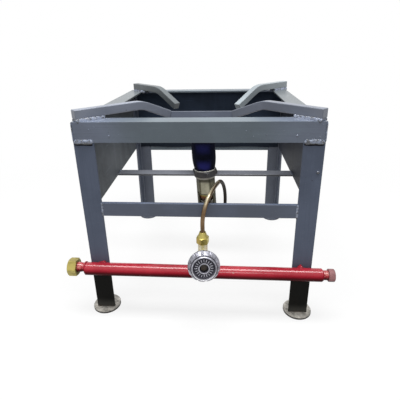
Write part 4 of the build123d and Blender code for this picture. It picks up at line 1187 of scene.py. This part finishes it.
class STOVE_OT_build_stage(bpy.types.Operator):
    """Lay the floor and place the lights and the camera"""
    bl_idname = "stove.build_stage"
    bl_label = "Build stage"

    def execute(self, context):
        stage, scene = context.scene.stove_stage, context.scene
        self.floor(scene, stage)
        self.room(scene, stage)
        top_size = (stage.top_light_width, stage.top_light_depth)
        front_size = (stage.front_light_width, stage.front_light_width)
        self.light(scene, "top light", stage.top_light, top_size, (-0.02, -0.30, 1.70))
        self.light(scene, "front light", stage.front_light, front_size, (0.1, -1.55, 1.1))
        self.camera(scene, stage)
        scene.view_settings.view_transform = "Standard"
        return {"FINISHED"}

    def floor(self, scene, stage):
        """Round floor that fades to plain white away from the stove, and lights it little from below."""
        shade = Shade("floor")
        distance = shade.vector("LENGTH", shade.vector("MULTIPLY", shade.place, (1, 1, 0)))
        seen = shade.seen()
        colour = shade.mix(seen, scaled(stage.floor_colour, stage.floor_bounce), stage.floor_colour)
        diffuse = shade.make("ShaderNodeBsdfDiffuse", None, {"Color": colour})
        white = shade.make("ShaderNodeEmission", None, {"Color": (1, 1, 1), "Strength": 1.0})
        share = shade.ramp(distance, 0.25, 1.1, 0.80, 1.0) * seen
        shader = shade.make("ShaderNodeMixShader", None, {0: share, 1: diffuse, 2: white})
        shade.make("ShaderNodeOutputMaterial", None, {"Surface": shader})
        radius, corners = 6.0, 96
        rim = [(radius * x, radius * y, 0) for x, y in circle(corners)]
        mesh = bpy.data.meshes.new("floor")
        mesh.from_pydata(rim, [], [tuple(range(corners))])
        mesh.materials.append(shade.owner)
        floor = bpy.data.objects.new("floor", mesh)
        scene.collection.objects.link(floor)

    def room(self, scene, stage):
        """Even light from all sides. Seen straight on or as a reflection, the room is plain white."""
        shade = Shade("room", "worlds")
        strength = stage.room_light + shade.seen() * (1.0 - stage.room_light)
        light = shade.make("ShaderNodeBackground", None, {"Color": (1, 1, 1), "Strength": strength})
        shade.make("ShaderNodeOutputWorld", None, {"Surface": light})
        scene.world = shade.owner

    def light(self, scene, name, power, size, offset):
        """Soft oval light at an offset from the stand's middle, turned towards it."""
        lamp = bpy.data.lights.new(name, "AREA")
        lamp.shape = "ELLIPSE"
        lamp.size, lamp.size_y = size
        lamp.energy = power
        lamp_object = bpy.data.objects.new(name, lamp)
        lamp_object.location = FOOTPRINT_MIDDLE + Vector(offset)
        lamp_object.rotation_euler = (-Vector(offset)).to_track_quat("-Z", "Y").to_euler()
        scene.collection.objects.link(lamp_object)

    def camera(self, scene, stage):
        """The photograph's viewpoint, measured from the middle of the stand's footprint."""
        yaw, pitch, roll = math.radians(4.0), math.radians(20.7), math.radians(-1.1)
        place = Vector((0.0387, -0.6876, 0.457))
        frame_size, sensor_width = 400, 36.0
        centre_right, centre_down = 199.7, 173.1
        ahead = Vector((-math.sin(yaw), math.cos(yaw), 0))
        forward = ahead * math.cos(pitch) - Vector((0, 0, math.sin(pitch)))
        level = Vector((math.cos(yaw), math.sin(yaw), 0))
        steep = level.cross(forward)
        right = level * math.cos(roll) + steep * math.sin(roll)
        up = steep * math.cos(roll) - level * math.sin(roll)
        lens = bpy.data.cameras.new("camera")
        lens.lens, lens.sensor_width = stage.focal_length, sensor_width
        lens.shift_x = (frame_size / 2 - centre_right) / frame_size
        lens.shift_y = (centre_down - frame_size / 2) / frame_size
        camera = bpy.data.objects.new("camera", lens)
        turn = Matrix((right, up, -forward)).transposed()
        camera.matrix_world = Matrix.Translation(FOOTPRINT_MIDDLE + place) @ turn.to_4x4()
        scene.collection.objects.link(camera)
        scene.camera = camera


class STOVE_PT_panel(bpy.types.Panel):
    """Lists the steps that dress the stove"""
    bl_idname = "STOVE_PT_panel"
    bl_label = "Stove"
    bl_space_type = "VIEW_3D"
    bl_region_type = "UI"
    bl_category = "Stove"

    def draw(self, context):
        scene = context.scene
        for group in (scene.stove_paint, scene.stove_metals, scene.stove_welds, scene.stove_stage):
            box = self.layout.box()
            for name in group.__annotations__:
                box.prop(group, name)
        for operator in OPERATORS:
            self.layout.operator(operator.bl_idname)


SETTINGS = {
    "stove_paint": StovePaintSettings,
    "stove_metals": StoveMetalSettings,
    "stove_welds": StoveWeldSettings,
    "stove_stage": StoveStageSettings,
}
OPERATORS = (
    STOVE_OT_build_stage,
    STOVE_OT_paint_stand,
    STOVE_OT_finish_skirts,
    STOVE_OT_finish_feet,
    STOVE_OT_finish_burner,
    STOVE_OT_paint_gas_pipe,
    STOVE_OT_finish_valve,
    STOVE_OT_finish_handwheel,
    STOVE_OT_finish_tube,
    STOVE_OT_add_welds,
)


def register():
    for group in SETTINGS.values():
        bpy.utils.register_class(group)
    for name, group in SETTINGS.items():
        setattr(bpy.types.Scene, name, PointerProperty(type=group))
    for operator in OPERATORS:
        bpy.utils.register_class(operator)
    bpy.utils.register_class(STOVE_PT_panel)


def unregister():
    bpy.utils.unregister_class(STOVE_PT_panel)
    for operator in reversed(OPERATORS):
        bpy.utils.unregister_class(operator)
    for name, group in SETTINGS.items():
        delattr(bpy.types.Scene, name)
        bpy.utils.unregister_class(group)


def main():
    register()
    for operator in OPERATORS:
        category, step = operator.bl_idname.split(".")
        getattr(getattr(bpy.ops, category), step)()


if __name__ == "__main__":
    main()
